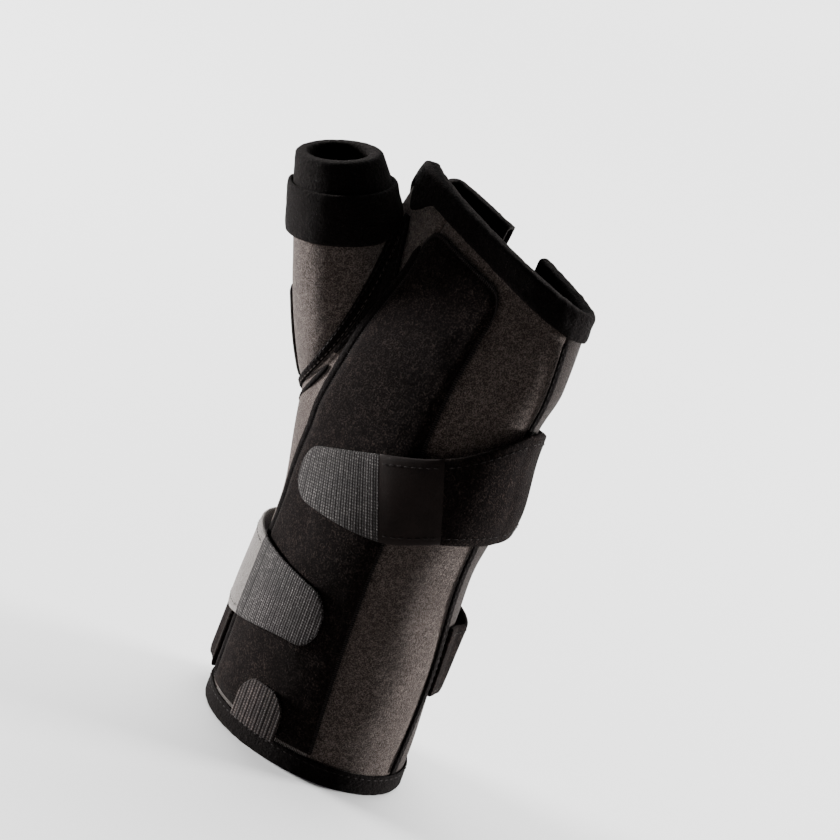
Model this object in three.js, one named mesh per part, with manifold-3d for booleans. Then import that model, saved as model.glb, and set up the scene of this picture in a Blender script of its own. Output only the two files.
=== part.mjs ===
// A wrist and thumb splint for a left hand: a foam-backed fabric sleeve with a thumb tube, stays in
// sewn pockets, bound edges and hook-and-loop straps. Millimetres and degrees, +Z along the forearm
// towards the fingers, palm side facing -Y, thumb side facing -X. It stands on its forearm end.
import * as THREE from "three";
import { mergeVertices } from "three/addons/utils/BufferGeometryUtils.js";
import Module from "manifold-3d";

const wasm = await Module();
wasm.setup();

// ---- Driving dimensions ----

// The sleeve is a stack of horizontal ellipses: height, centre and half sizes of each.
const HEIGHTS = [0, 45, 90, 125, 160, 195, 235];
const CENTRE_X = [0, 0, 0, -2.2, -4.1, -0.8, 2.2];
const CENTRE_Y = [0, 0, 0, 1.5, 5, 9, 13];
const HALF_WIDTH = [43.5, 42.2, 41.2, 47.5, 51, 45.6, 40.8];
const HALF_DEPTH = [31.5, 31.5, 31, 29, 25.5, 21, 18.5];

// The thumb tube: a round sleeve on a slanted axis, with its radius at places along that axis.
const THUMB_ROOT = new THREE.Vector3(-33.9, 8.6, 102.6);
const THUMB_AXIS = new THREE.Vector3(-0.194, -0.2275, 0.954).normalize();
const THUMB_PLACES = [0, 40, 82, 109, 122];
const THUMB_RADII = [4, 15.5, 18.5, 17.3, 15];
const THUMB_BEND = [0, 0, 0, 0.9, 3.2]; // how far its centre leaves the axis towards the thumb side
const THUMB_LENGTH = 122;
const WEB_FLARE = 6; // how far the tube spreads towards the palm between thumb and fingers
const WEB_SIDE = 238; // the angle round the tube that faces the palm

const FABRIC = 3; // wall of the sleeve
const CLEAR = 0.4; // gap between pieces that lie on each other
const SEAM = 0.5; // half the gap between panels that are sewn edge to edge, in degrees
const TAPE = 0.7; // thickness of seam tape and binding
const STRAP = 1.8; // thickness of a loop-fabric strap
const HOOK_TAB = 1.2; // thickness of a woven hook tab
const STRAP_LIFT = 3.4; // a strap's inner face over the sleeve, clear of the stay pockets
const STRAP_JOIN = 0.35; // half the gap between two lengths of one strap, in degrees

const FINGER_EDGE = 212.5; // mean height of the edge round the fingers
const FINGER_SLOPE = 12.5; // how much higher that edge is at the index finger than at the little one
const WEB_DIP = 10; // how far it dips between thumb and index finger
const OPENING = 12; // half width of the slit down the back of the sleeve, in degrees
const PALM_SEAM = -20; // angle of the seam hidden under the stay pocket
const BACK_ARC = 0.72; // millimetres round the sleeve for each degree, at the opening
const SQUEEZE = 3.5; // how deep the wrist strap presses the sleeve in at the little-finger side
const BOTTOM_TAPE_HEIGHT = 8.6;
const FINGER_TAPE_HEIGHT = 10.4; // at the little-finger side and the back

// Places the object's box round the origin.
const CENTRED = new THREE.Vector3(13.2, -0.13, 0);

// ---- Curves and surfaces ----

const { lerp, clamp, smoothstep, degToRad } = THREE.MathUtils;

// A smooth curve through values at the given places.
function spline(places, values, at) {
  let i = 0;
  while (i < places.length - 2 && at > places[i + 1]) i += 1;
  const slope = (k) => {
    const low = Math.max(k - 1, 0);
    const high = Math.min(k + 1, places.length - 1);
    return (values[high] - values[low]) / (places[high] - places[low]);
  };
  const span = places[i + 1] - places[i];
  const t = (at - places[i]) / span;
  const cubic = t * t * (3 - 2 * t);
  return (
    lerp(values[i], values[i + 1], cubic) +
    t * (1 - t) * (1 - t) * span * slope(i) -
    t * t * (1 - t) * span * slope(i + 1)
  );
}

// 1 in the middle of a hump, falling smoothly to 0 at its half width.
function hump(at, middle, halfWidth) {
  const away = clamp(Math.abs(at - middle) / halfWidth, 0, 1);
  return Math.cos((away * Math.PI) / 2) ** 2;
}

// The sleeve's outer surface, or one parallel to it. theta is 0 at the middle of the palm side,
// 90 at the little finger, 180 at the back and -90 at the thumb.
function sleevePoint(theta, z, offset) {
  const a = degToRad(theta);
  const halfWidth = spline(HEIGHTS, HALF_WIDTH, z);
  const halfDepth = spline(HEIGHTS, HALF_DEPTH, z);
  const outward = new THREE.Vector2(Math.sin(a) / halfWidth, -Math.cos(a) / halfDepth).normalize();
  const off = offset - SQUEEZE * hump(theta, 95, 45) * hump(z, 145, 26);
  return new THREE.Vector3(
    spline(HEIGHTS, CENTRE_X, z) + halfWidth * Math.sin(a) + off * outward.x,
    spline(HEIGHTS, CENTRE_Y, z) - halfDepth * Math.cos(a) + off * outward.y,
    z,
  );
}

function insideSleeve(point) {
  const x = (point.x - spline(HEIGHTS, CENTRE_X, point.z)) / spline(HEIGHTS, HALF_WIDTH, point.z);
  const y = (point.y - spline(HEIGHTS, CENTRE_Y, point.z)) / spline(HEIGHTS, HALF_DEPTH, point.z);
  return x * x + y * y < 1;
}

const thumbSide = new THREE.Vector3().crossVectors(THUMB_AXIS, new THREE.Vector3(0, 1, 0)).normalize();
const thumbFront = new THREE.Vector3().crossVectors(THUMB_AXIS, thumbSide);

function thumbRadius(phi, along) {
  const turn = ((phi % 360) + 360) % 360;
  const flare = WEB_FLARE * hump(turn, WEB_SIDE, 70) * (1 - smoothstep(along, 90, 108));
  return spline(THUMB_PLACES, THUMB_RADII, along) + flare;
}

// The thumb tube's outer surface, or one parallel to it. phi is 0 on the tube's thumb side, 90 on
// its palm side, 180 facing the little finger and 270 at the back.
function thumbPoint(phi, along, offset) {
  const a = degToRad(phi);
  const radius = thumbRadius(phi, along) + offset;
  const bend = spline(THUMB_PLACES, THUMB_BEND, along);
  return THUMB_ROOT.clone()
    .addScaledVector(THUMB_AXIS, along)
    .addScaledVector(thumbSide, bend + radius * Math.cos(a))
    .addScaledVector(thumbFront, radius * Math.sin(a));
}

function insideThumb(point) {
  const from = point.clone().sub(THUMB_ROOT);
  const along = from.dot(THUMB_AXIS);
  if (along < 0) return false;
  const side = from.dot(thumbSide) - spline(THUMB_PLACES, THUMB_BEND, along);
  const front = from.dot(thumbFront);
  const phi = THREE.MathUtils.radToDeg(Math.atan2(front, side));
  return Math.hypot(side, front) < thumbRadius(phi, along);
}

// Where the thumb tube leaves the sleeve, as a distance along the tube.
function thumbSeam(phi) {
  let inside = THUMB_LENGTH;
  while (inside > 0 && !insideSleeve(thumbPoint(phi, inside, 0))) inside -= 1;
  let outside = inside + 1;
  for (let i = 0; i < 12; i += 1) {
    const middle = (inside + outside) / 2;
    if (insideSleeve(thumbPoint(phi, middle, 0))) inside = middle;
    else outside = middle;
  }
  return inside;
}

// The angle round the sleeve where the palm meets the thumb tube at a height.
function palmSideOfThumb(z) {
  let theta = PALM_SEAM;
  while (theta > -90 && !insideThumb(sleevePoint(theta, z, 0))) theta -= 0.25;
  return theta;
}

// Height of the edge round the fingers.
function fingerEdge(theta) {
  const turn = theta > 180 ? theta - 360 : theta;
  const slope = FINGER_SLOPE * Math.cos(degToRad(turn + 72));
  return FINGER_EDGE + slope - WEB_DIP * hump(turn, -98, 32);
}

// Width of the binding on that edge: narrow over the web, wide at the root of the index finger.
function fingerTapeHeight(theta) {
  const palmSide = 2 * (1 - smoothstep(theta, 0, 60));
  return FINGER_TAPE_HEIGHT - palmSide + 7.5 * hump(theta, -47, 18) - 2 * hump(theta, -98, 40);
}

function littleFingerSeam(z) {
  return spline([0, 50, 90, 130, 165, 190, 210], [86, 93, 85.5, 77, 77.5, 74, 66], z);
}

// ---- Building slabs ----

function range(from, to, steps) {
  return Array.from({ length: steps + 1 }, (_, i) => lerp(from, to, i / steps));
}

function welded(geometry) {
  geometry.deleteAttribute("normal");
  geometry.deleteAttribute("uv");
  const merged = mergeVertices(geometry, 1e-4);
  merged.computeVertexNormals();
  return merged;
}

// A closed slab whose point at (u, v, w) is place(u, v, w). us and vs are its grid lines, and w is
// 0 on its inner face and 1 on its outer face. A looped slab runs round and joins its own start.
function slab(place, us, vs, looped = false) {
  const columns = us.length - 1;
  const rows = vs.length - 1;
  const geometry = new THREE.BoxGeometry(1, 1, 1, columns, rows, 1);
  if (looped) {
    const endTriangles = 4 * rows;
    geometry.setIndex(Array.from(geometry.index.array).slice(3 * endTriangles));
    geometry.clearGroups();
  }
  const position = geometry.getAttribute("position");
  for (let i = 0; i < position.count; i += 1) {
    const u = us[Math.round((position.getX(i) + 0.5) * columns)];
    const v = vs[Math.round((position.getY(i) + 0.5) * rows)];
    const point = place(u, v, position.getZ(i) + 0.5);
    position.setXYZ(i, point.x, point.y, point.z);
  }
  return welded(geometry);
}

// A solid body of round sections: place(angle, along, radial), radial 0 on its axis and 1 outside.
function body(place, columns, rows, from, to) {
  const geometry = new THREE.CylinderGeometry(1, 1, 1, columns, rows);
  const position = geometry.getAttribute("position");
  for (let i = 0; i < position.count; i += 1) {
    const angle = THREE.MathUtils.radToDeg(Math.atan2(position.getX(i), position.getZ(i)));
    const radial = Math.round(Math.hypot(position.getX(i), position.getZ(i)));
    const point = place(angle, lerp(from, to, position.getY(i) + 0.5), radial);
    position.setXYZ(i, point.x, point.y, point.z);
  }
  return welded(geometry);
}

function solidOf(geometry) {
  return new wasm.Manifold(
    new wasm.Mesh({
      numProp: 3,
      vertProperties: new Float32Array(geometry.getAttribute("position").array),
      triVerts: new Uint32Array(geometry.index.array),
    }),
  );
}

function cut(geometry, ...tools) {
  let solid = solidOf(geometry);
  for (const tool of tools) solid = solid.subtract(solidOf(tool));
  const mesh = solid.getMesh();
  const result = new THREE.BufferGeometry();
  result.setAttribute("position", new THREE.BufferAttribute(mesh.vertProperties.slice(), 3));
  result.setIndex(new THREE.BufferAttribute(mesh.triVerts.slice(), 1));
  result.computeVertexNormals();
  return result;
}

// The sleeve's space filled up to an offset of its surface, between two heights.
function sleeveBody(offset, from, to) {
  const place = (theta, z, radial) =>
    radial
      ? sleevePoint(theta, z, offset)
      : new THREE.Vector3(spline(HEIGHTS, CENTRE_X, z), spline(HEIGHTS, CENTRE_Y, z), z);
  return body(place, 60, 14, from, to);
}

function thumbBody(offset, from, to) {
  const place = (phi, along, radial) =>
    radial
      ? thumbPoint(phi, along, offset)
      : THUMB_ROOT.clone().addScaledVector(THUMB_AXIS, along);
  return body(place, 36, 12, from, to);
}

// The section of a tape folded over a fabric edge, from the free end of its outer leg over the edge
// to the free end of its inner leg: [offset from the fabric's outer face, distance from the edge].
function foldedSection(v, w, outerLeg, innerLeg, thickness) {
  const near = CLEAR;
  const far = -FABRIC - CLEAR;
  const inside = [
    [near, outerLeg],
    [near, thickness],
    [0, thickness],
    [-FABRIC, thickness],
    [far, thickness],
    [far, innerLeg],
  ];
  const outside = [
    [near + thickness, outerLeg],
    [near + thickness, thickness],
    [0, 0],
    [-FABRIC, 0],
    [far - thickness, thickness],
    [far - thickness, innerLeg],
  ];
  return w ? outside[v] : inside[v];
}
const FOLD_LINES = [0, 1, 2, 3, 4, 5];
const FOLD_MARGIN = 0.5; // how far a fabric edge stays below the tape folded over it

// ---- Sleeve panels ----

const panelBottom = TAPE + FOLD_MARGIN;
const FINGER_TAPE = 1.1;

function panel(from, to, columns) {
  const place = (u, v, w) => {
    const top = (theta) => fingerEdge(theta) - FINGER_TAPE - FOLD_MARGIN;
    const roughTheta = lerp(from(HEIGHTS[3]), to(HEIGHTS[3]), u);
    const roughZ = lerp(panelBottom, top(roughTheta), v);
    const theta = lerp(from(roughZ), to(roughZ), u);
    return sleevePoint(theta, lerp(panelBottom, top(theta), v), lerp(-FABRIC, 0, w));
  };
  return slab(place, range(0, 1, columns), range(0, 1, 15));
}

// Where the fabric stops inside the opening's binding.
const openingEdge = 180 - OPENING - (TAPE + FOLD_MARGIN) / BACK_ARC;
const palmarPanel = () =>
  panel(
    () => PALM_SEAM + SEAM / 2,
    (z) => littleFingerSeam(z) - SEAM,
    14,
  );
const ulnarPanel = () =>
  panel(
    (z) => littleFingerSeam(z) + SEAM,
    () => openingEdge,
    10,
  );
function radialPanel() {
  const whole = panel(
    () => -openingEdge,
    () => PALM_SEAM - SEAM / 2,
    24,
  );
  return cut(whole, thumbBody(-FABRIC * 0.7, 6, THUMB_LENGTH));
}

// The padded tongue that lies under the opening at the back.
function dorsalTongue() {
  const place = (u, v, w) => {
    const rounding = 0.75 + 0.25 * hump(v, 0.5, 0.55);
    const theta = 180 + 30 * rounding * (2 * u - 1);
    return sleevePoint(theta, lerp(12, fingerEdge(180) - 14, v), lerp(-6.8, -4.8, w));
  };
  return slab(place, range(0, 1, 8), range(0, 1, 14));
}

// ---- Thumb tube ----

function thumbGusset() {
  const place = (u, v, w) => thumbPoint(u, v, lerp(-FABRIC, 0, w));
  const top = THUMB_LENGTH - TAPE - FOLD_MARGIN;
  const rings = [6, 22, 38, 52, 64, 74, 82, 88, 93, 97, 101, 106, 113, top];
  const tube = slab(place, range(0, 360, 30), rings, true);
  return cut(tube, sleeveBody(CLEAR, 60, 235));
}

function thumbTopBinding() {
  const place = (u, v, w) => {
    const [offset, away] = foldedSection(v, w, 9.5, 8, TAPE);
    return thumbPoint(u, THUMB_LENGTH - away, offset);
  };
  return slab(place, range(0, 360, 30), FOLD_LINES, true);
}

// Tape over the seam between thumb tube and sleeve, wide at the web and narrow at the wrist.
function thumbSeamTape() {
  const place = (u, v, w) => {
    const width = 3 + 5.5 * hump(u, 175, 110);
    const lift = CLEAR + 0.15 + TAPE * w;
    return thumbPoint(u, thumbSeam(u) + 1.8 + width * v, lift);
  };
  return slab(place, range(0, 360, 60), [0, 0.5, 1], true);
}

// The other half of that tape, on the palm: it fills the angle between the tube and the pocket.
const WEB_TAPE_HEIGHTS = [150, 160, 171, 181, 189, 198, 205];
const WEB_TAPE_OUTER = [-34, -28, -25, -23.6, -30, -37.5, -44.5];

function webTape() {
  const us = range(0, 1, 22).map((share) => lerp(WEB_TAPE_HEIGHTS[0], WEB_TAPE_HEIGHTS[6], share));
  const place = (v, z, w) => {
    const gap = 1.9 + 3.6 * smoothstep(z, 172, 204);
    const inner = Math.max(palmSideOfThumb(z) + gap, -50);
    const theta = lerp(inner, spline(WEB_TAPE_HEIGHTS, WEB_TAPE_OUTER, z), v);
    return sleevePoint(theta, z, lerp(CLEAR, CLEAR + TAPE, w));
  };
  return slab(place, [0, 0.5, 1], us);
}

// ---- Bindings and seam tape ----

function bottomBinding() {
  const place = (u, v, w) => {
    const [offset, away] = foldedSection(5 - v, w, BOTTOM_TAPE_HEIGHT, 8, TAPE);
    return sleevePoint(u, away, offset);
  };
  const end = 180 - OPENING;
  return slab(place, range(-end, end, 44), FOLD_LINES);
}

function palmBinding() {
  const place = (u, v, w) => {
    const innerLeg = 8 - 2.8 * hump(u, -98, 40);
    const [offset, away] = foldedSection(v, w, fingerTapeHeight(u), innerLeg, FINGER_TAPE);
    return sleevePoint(u, fingerEdge(u) - away, offset);
  };
  const end = 180 - OPENING;
  return slab(place, range(-end, end, 64), FOLD_LINES);
}

// Binding down one edge of the opening at the back: side is 1 at the little finger, -1 at the thumb.
function openingBinding(side) {
  const from = BOTTOM_TAPE_HEIGHT + 0.9;
  const place = (u, v, w) => {
    const step = side > 0 ? 5 - v : v;
    const [offset, away] = foldedSection(step, w, 5, 5, TAPE);
    const theta = side * (180 - OPENING - away / BACK_ARC);
    const top = fingerEdge(theta) - FINGER_TAPE_HEIGHT - 0.9;
    return sleevePoint(theta, lerp(from, top, u), offset);
  };
  return slab(place, range(0, 1, 12), FOLD_LINES);
}

function ulnarSeamTape() {
  const halfWidth = 2.1;
  const place = (u, v, w) => {
    const from = BOTTOM_TAPE_HEIGHT + 0.9;
    const to = fingerEdge(littleFingerSeam(190)) - FINGER_TAPE_HEIGHT - 2.6;
    const z = lerp(from, to, v);
    const theta = littleFingerSeam(z) + halfWidth * (2 * u - 1);
    return sleevePoint(theta, z, lerp(CLEAR, CLEAR + TAPE, w));
  };
  return slab(place, [0, 0.5, 1], range(0, 1, 18));
}

// ---- Stays and their pockets ----

// A cover that stands over the sleeve on a sewn rim, with room for a stay inside.
function coverOffset(u, v, w, rim, outer, open) {
  const nearSide = Math.min(u, 1 - u) < rim[0];
  const nearEnd = Math.min(v, 1 - v) < rim[1];
  if (w) return nearSide || nearEnd ? outer - 0.35 : outer;
  return (nearSide || nearEnd) && !open ? CLEAR : outer - 1;
}
const RIM_LINES = [0, 0.039, 0.041, 0.12];
const COVER_US = [...RIM_LINES, ...range(0.25, 0.75, 4), ...RIM_LINES.map((x) => 1 - x).reverse()];
const PALM_POCKET_TOP = 3;

// The loop-faced pocket that covers the palm side from the forearm to the palm.
const POCKET_HEIGHTS = [9.5, 48, 97, 121, 130, 153, 186, 206];
const POCKET_LEFT = [-48, -49.5, -43.5, -34, -33, -25.5, -21.8, -24];
const POCKET_RIGHT = [31, 29, 28.5, 28, 27.5, 26.5, 27.5, 29];
const POCKET_CORNER = 0.16; // share of the width that each top corner rounds over

function palmarPocket() {
  const place = (u, v, w) => {
    const fromCorner = clamp(Math.min(u, 1 - u) / POCKET_CORNER, 0, 1);
    const rounding = 9 * (1 - Math.sqrt(1 - (1 - fromCorner) ** 2));
    const rough = lerp(POCKET_LEFT[7], POCKET_RIGHT[7], u);
    const top = fingerEdge(rough) - 13.5 - rounding;
    const z = lerp(POCKET_HEIGHTS[0], top, v);
    const left = spline(POCKET_HEIGHTS, POCKET_LEFT, z);
    const right = spline(POCKET_HEIGHTS, POCKET_RIGHT, z);
    const mouth = v === 0 && u > 0.25 && u < 0.75;
    const offset = coverOffset(u, v, w, [0.04, 0.012], PALM_POCKET_TOP, mouth);
    return sleevePoint(lerp(left, right, u), z, offset);
  };
  const vs = [0, 0.011, 0.013, ...range(0.07, 0.93, 12), 0.987, 0.989, 1];
  return slab(place, COVER_US, vs);
}

// The shaped aluminium stay: a narrow strip up the forearm and a wide plate in the palm.
function palmarStay() {
  const heights = [16, 24, 110, 150, 175, 188];
  const halfWidths = [8, 13, 13, 17.5, 18.5, 13];
  const place = (u, v, w) => {
    const z = lerp(heights[0], heights[5], v);
    const middle = lerp(-5, 2, v);
    const halfWidth = spline(heights, halfWidths, z);
    return sleevePoint(middle + halfWidth * (2 * u - 1), z, lerp(CLEAR, CLEAR + 1.2, w));
  };
  return slab(place, range(0, 1, 6), range(0, 1, 18));
}

// A pocket for a straight stay. put(across, along, offset) places a point, across in -1 to 1.
function stayPocket(put) {
  const place = (u, v, w) => {
    const offset = coverOffset(u, v, w, [0.1, 0.03], 2.9, false);
    return put(2 * u - 1, v, offset);
  };
  const us = [0, 0.09, 0.11, 0.5, 0.89, 0.91, 1];
  return slab(place, us, [0, 0.028, 0.032, ...range(0.12, 0.88, 9), 0.968, 0.972, 1]);
}
const DORSAL_STAY_ANGLE = 150;
const DORSAL_POCKET = { halfWidth: 7, from: 24, to: 186 };

function dorsalStayPocket(side) {
  const { halfWidth, from, to } = DORSAL_POCKET;
  return stayPocket((across, along, offset) =>
    sleevePoint(side * DORSAL_STAY_ANGLE + halfWidth * across, lerp(from, to, along), offset),
  );
}

function dorsalStay(side) {
  const { from, to } = DORSAL_POCKET;
  const place = (u, v, w) => {
    const theta = side * DORSAL_STAY_ANGLE + 4.6 * (2 * u - 1);
    return sleevePoint(theta, lerp(from + 7, to - 7, v), lerp(CLEAR, CLEAR + 1, w));
  };
  return slab(place, range(0, 1, 2), range(0, 1, 14));
}
const THUMB_STAY = { middle: 10, halfWidth: 20, from: 32, to: 69 };

function thumbStayPocket() {
  const { middle, halfWidth, from, to } = THUMB_STAY;
  return stayPocket((across, along, offset) =>
    thumbPoint(middle + halfWidth * across, lerp(from, to, along), offset - 0.5 * (offset > 1)),
  );
}

function thumbStay() {
  const { middle, halfWidth, from, to } = THUMB_STAY;
  const place = (u, v, w) => {
    const phi = middle + (halfWidth - 7) * (2 * u - 1);
    return thumbPoint(phi, lerp(from + 4, to - 4, v), lerp(CLEAR, CLEAR + 0.6, w));
  };
  return slab(place, range(0, 1, 4), range(0, 1, 6));
}

// The small hook flap that closes the mouth of the palm-side pocket.
function pocketFlap() {
  const heights = { from: 9.6, to: 28 };
  const place = (u, v, w) => {
    const rounded = Math.sqrt(1 - 0.8 * clamp((v - 0.45) / 0.55, 0, 1) ** 2);
    const theta = -2 + 13.5 * rounded * (2 * u - 1);
    const z = lerp(heights.from, heights.to, v);
    return sleevePoint(theta, z, PALM_POCKET_TOP + lerp(CLEAR, CLEAR + HOOK_TAB, w));
  };
  return slab(place, range(0, 1, 6), [0, 0.25, 0.45, 0.65, 0.8, 0.92, 1]);
}

// ---- Straps ----

// Each strap runs round the sleeve: at is the angle of its centre line, low and high are the
// heights of its edges, and lean is how far its upper edge leads its lower one.
const WRIST_STRAP = {
  at: [-27, 18.5, 46, 82, 117, 150, 180, 238],
  low: [99, 100.5, 107.5, 111, 113, 111, 109, 107],
  high: [117, 129, 137.5, 154.5, 150.5, 146, 144, 141],
  lean: [0, -15, -16, -10, -3, 0, 0, 0],
};
const MIDDLE_STRAP = {
  at: [90, 113, 180, 230, 268, 298, 320, 354, 374],
  low: [43, 41, 40, 40, 41, 40, 42.5, 48.5, 50],
  high: [71, 70, 70, 73, 76, 77, 76, 73.5, 71],
  lean: [0, 0, 0, 0, 0, 0, 0, 0, 0],
};
const LOWER_STRAP = {
  at: [142, 172, 204, 255, 294],
  low: [13.5, 12, 10.8, 10.2, 10.2],
  high: [31.5, 33.5, 35, 36, 34.5],
  lean: [0, 0, 0, 0, 0],
};

// One length of a strap. ends says how it starts and stops: "join" meets the next length, "tip" is
// the rounded free end, and "sewn" comes down on to the sleeve.
function strapLength(strap, from, to, ends, thickness, bulge = () => 0) {
  const TIP = 9;
  const place = (u, v, w) => {
    const fromStart = u - from;
    const toEnd = to - u;
    const tipGap = ends[0] === "tip" ? fromStart : ends[1] === "tip" ? toEnd : TIP;
    const tuck = 1 - clamp(tipGap / TIP, 0, 1);
    const across = 0.5 + (v - 0.5) * Math.sqrt(1 - 0.84 * tuck * tuck);
    const sewnGap = ends[0] === "sewn" ? fromStart : ends[1] === "sewn" ? toEnd : 30;
    const lift = lerp(CLEAR, STRAP_LIFT, smoothstep(sewnGap, 9, 19));
    const theta = u + spline(strap.at, strap.lean, u) * (across - 0.5);
    const z = lerp(spline(strap.at, strap.low, u), spline(strap.at, strap.high, u), across);
    return sleevePoint(theta, z, lift + bulge(u, across) + thickness * w);
  };
  const steps = Math.max(4, Math.round((to - from) / 6.5));
  const us = range(from, to, steps);
  if (ends[0] === "tip") us.splice(1, 1, from + 1.5, from + 4, from + 6.5);
  if (ends[1] === "tip") us.splice(-2, 1, to - 6.5, to - 4, to - 1.5);
  return slab(place, us, [0, 0.33, 0.67, 1]);
}

// The wrist strap stands off the sleeve at the little-finger side, most at its lower edge.
const wristBulge = (theta, across) => hump(theta, 108, 44) * lerp(0.8, -1.9, across);
// The middle strap's lower edge lies closer to the sleeve just after its sewn start.
const middleBulge = (theta, across) =>
  -2 * (1 - across) * smoothstep(theta, 106, 117) * (1 - smoothstep(theta, 122, 140));
const lowerBulge = (theta) => 3.2 * hump(theta, 266, 34);
const WRIST = { tip: -27, hook: 18.5, smooth: 46, hinge: 82, end: 238 };
const MIDDLE = { end: 96.5, hinge: 268, hook: 320, tip: 374 };
const LOWER = { tip: 142, hook: 172, hinge: 255, end: 294 };

const wristHookTab = () =>
  strapLength(WRIST_STRAP, WRIST.tip, WRIST.hook - STRAP_JOIN, ["tip", "join"], HOOK_TAB);
const wristSmoothSection = () =>
  strapLength(
    WRIST_STRAP,
    WRIST.hook + STRAP_JOIN,
    WRIST.smooth - STRAP_JOIN,
    ["join", "join"],
    STRAP,
  );
const wristStrapEnd = () =>
  strapLength(
    WRIST_STRAP,
    WRIST.smooth + STRAP_JOIN,
    WRIST.hinge - STRAP_JOIN,
    ["join", "join"],
    STRAP,
    wristBulge,
  );
const wristStrap = () =>
  strapLength(
    WRIST_STRAP,
    WRIST.hinge + STRAP_JOIN,
    WRIST.end,
    ["join", "sewn"],
    STRAP,
    wristBulge,
  );

const middleStrap = () =>
  strapLength(
    MIDDLE_STRAP,
    MIDDLE.end,
    MIDDLE.hinge - STRAP_JOIN,
    ["sewn", "join"],
    STRAP,
    middleBulge,
  );
const middleStrapEnd = () =>
  strapLength(
    MIDDLE_STRAP,
    MIDDLE.hinge + STRAP_JOIN,
    MIDDLE.hook - STRAP_JOIN,
    ["join", "join"],
    STRAP,
  );
const middleHookTab = () =>
  strapLength(MIDDLE_STRAP, MIDDLE.hook + STRAP_JOIN, MIDDLE.tip, ["join", "tip"], HOOK_TAB);

const lowerHookTab = () =>
  strapLength(LOWER_STRAP, LOWER.tip, LOWER.hook - STRAP_JOIN, ["tip", "join"], HOOK_TAB);
const lowerStrapEnd = () =>
  strapLength(
    LOWER_STRAP,
    LOWER.hook + STRAP_JOIN,
    LOWER.hinge - STRAP_JOIN,
    ["join", "join"],
    STRAP,
    lowerBulge,
  );
const lowerStrap = () =>
  strapLength(
    LOWER_STRAP,
    LOWER.hinge + STRAP_JOIN,
    LOWER.end,
    ["join", "sewn"],
    STRAP,
    lowerBulge,
  );

// The narrow strap round the top of the thumb tube.
const THUMB_STRAP = { tip: -58, hook: 20, end: 282, low: 93, high: 111, lift: 1.5 };

function thumbStrapLength(from, to, thickness, rounded) {
  const place = (u, v, w) => {
    const tuck = rounded ? 1 - clamp((u - from) / 24, 0, 1) : 0;
    const across = 0.5 + (v - 0.5) * Math.sqrt(1 - 0.84 * tuck * tuck);
    const web = hump(u, WEB_SIDE, 75);
    const low = THUMB_STRAP.low + 12 * web;
    const high = THUMB_STRAP.high;
    const sewn = u > 100 ? smoothstep(THUMB_STRAP.end - u, 12, 26) : 1;
    const lift = lerp(CLEAR, THUMB_STRAP.lift, sewn);
    return thumbPoint(u, lerp(low, high, across), lift + thickness * w);
  };
  const us = range(from, to, Math.round((to - from) / 9));
  if (rounded) us.splice(1, 1, from + 3, from + 9);
  return slab(place, us, [0, 0.5, 1]);
}
const thumbHookTab = () =>
  thumbStrapLength(THUMB_STRAP.tip, THUMB_STRAP.hook - 1, HOOK_TAB, true);
const thumbStrap = () =>
  thumbStrapLength(THUMB_STRAP.hook + 1, THUMB_STRAP.end, STRAP, false);

// ---- The splint ----

const fabric = (color) => new THREE.MeshStandardMaterial({ color, roughness: 0.9, metalness: 0 });
const foamFabric = fabric(0x4a4440);
const loopFabric = fabric(0x16120f);
const bindingTape = fabric(0x0d0b0a);
const hookWeave = fabric(0x5d5f61);
const lining = fabric(0x2a2725);
const aluminium = new THREE.MeshStandardMaterial({ color: 0xb9bcc0, roughness: 0.4, metalness: 1 });
const plastic = new THREE.MeshStandardMaterial({ color: 0xdedede, roughness: 0.5, metalness: 0 });

const pieces = [
  ["palmar_panel", palmarPanel(), foamFabric],
  ["radial_panel", radialPanel(), foamFabric],
  ["ulnar_panel", ulnarPanel(), foamFabric],
  ["dorsal_tongue", dorsalTongue(), lining],
  ["thumb_gusset", thumbGusset(), foamFabric],
  ["thumb_top_binding", thumbTopBinding(), bindingTape],
  ["thumb_seam_tape", thumbSeamTape(), bindingTape],
  ["web_tape", webTape(), bindingTape],
  ["bottom_binding", bottomBinding(), bindingTape],
  ["palm_binding", palmBinding(), bindingTape],
  ["opening_binding_ulnar", openingBinding(1), bindingTape],
  ["opening_binding_radial", openingBinding(-1), bindingTape],
  ["ulnar_seam_tape", ulnarSeamTape(), bindingTape],
  ["palmar_pocket", palmarPocket(), loopFabric],
  ["palmar_stay", palmarStay(), aluminium],
  ["pocket_flap", pocketFlap(), hookWeave],
  ["dorsal_stay_pocket_ulnar", dorsalStayPocket(1), loopFabric],
  ["dorsal_stay_pocket_radial", dorsalStayPocket(-1), loopFabric],
  ["dorsal_stay_ulnar", dorsalStay(1), aluminium],
  ["dorsal_stay_radial", dorsalStay(-1), aluminium],
  ["thumb_stay_pocket", thumbStayPocket(), loopFabric],
  ["thumb_stay", thumbStay(), plastic],
  ["wrist_strap", wristStrap(), loopFabric],
  ["wrist_strap_end", wristStrapEnd(), loopFabric],
  ["wrist_strap_smooth_section", wristSmoothSection(), loopFabric],
  ["wrist_hook_tab", wristHookTab(), hookWeave],
  ["middle_strap", middleStrap(), loopFabric],
  ["middle_strap_end", middleStrapEnd(), loopFabric],
  ["middle_hook_tab", middleHookTab(), hookWeave],
  ["lower_strap", lowerStrap(), loopFabric],
  ["lower_strap_end", lowerStrapEnd(), loopFabric],
  ["lower_hook_tab", lowerHookTab(), hookWeave],
  ["thumb_strap", thumbStrap(), loopFabric],
  ["thumb_hook_tab", thumbHookTab(), hookWeave],
];

const splint = new THREE.Group();
splint.position.copy(CENTRED);
for (const [name, geometry, material] of pieces) {
  const mesh = new THREE.Mesh(geometry, material);
  mesh.name = name;
  splint.add(mesh);
}

export default splint;
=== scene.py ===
import math

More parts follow.
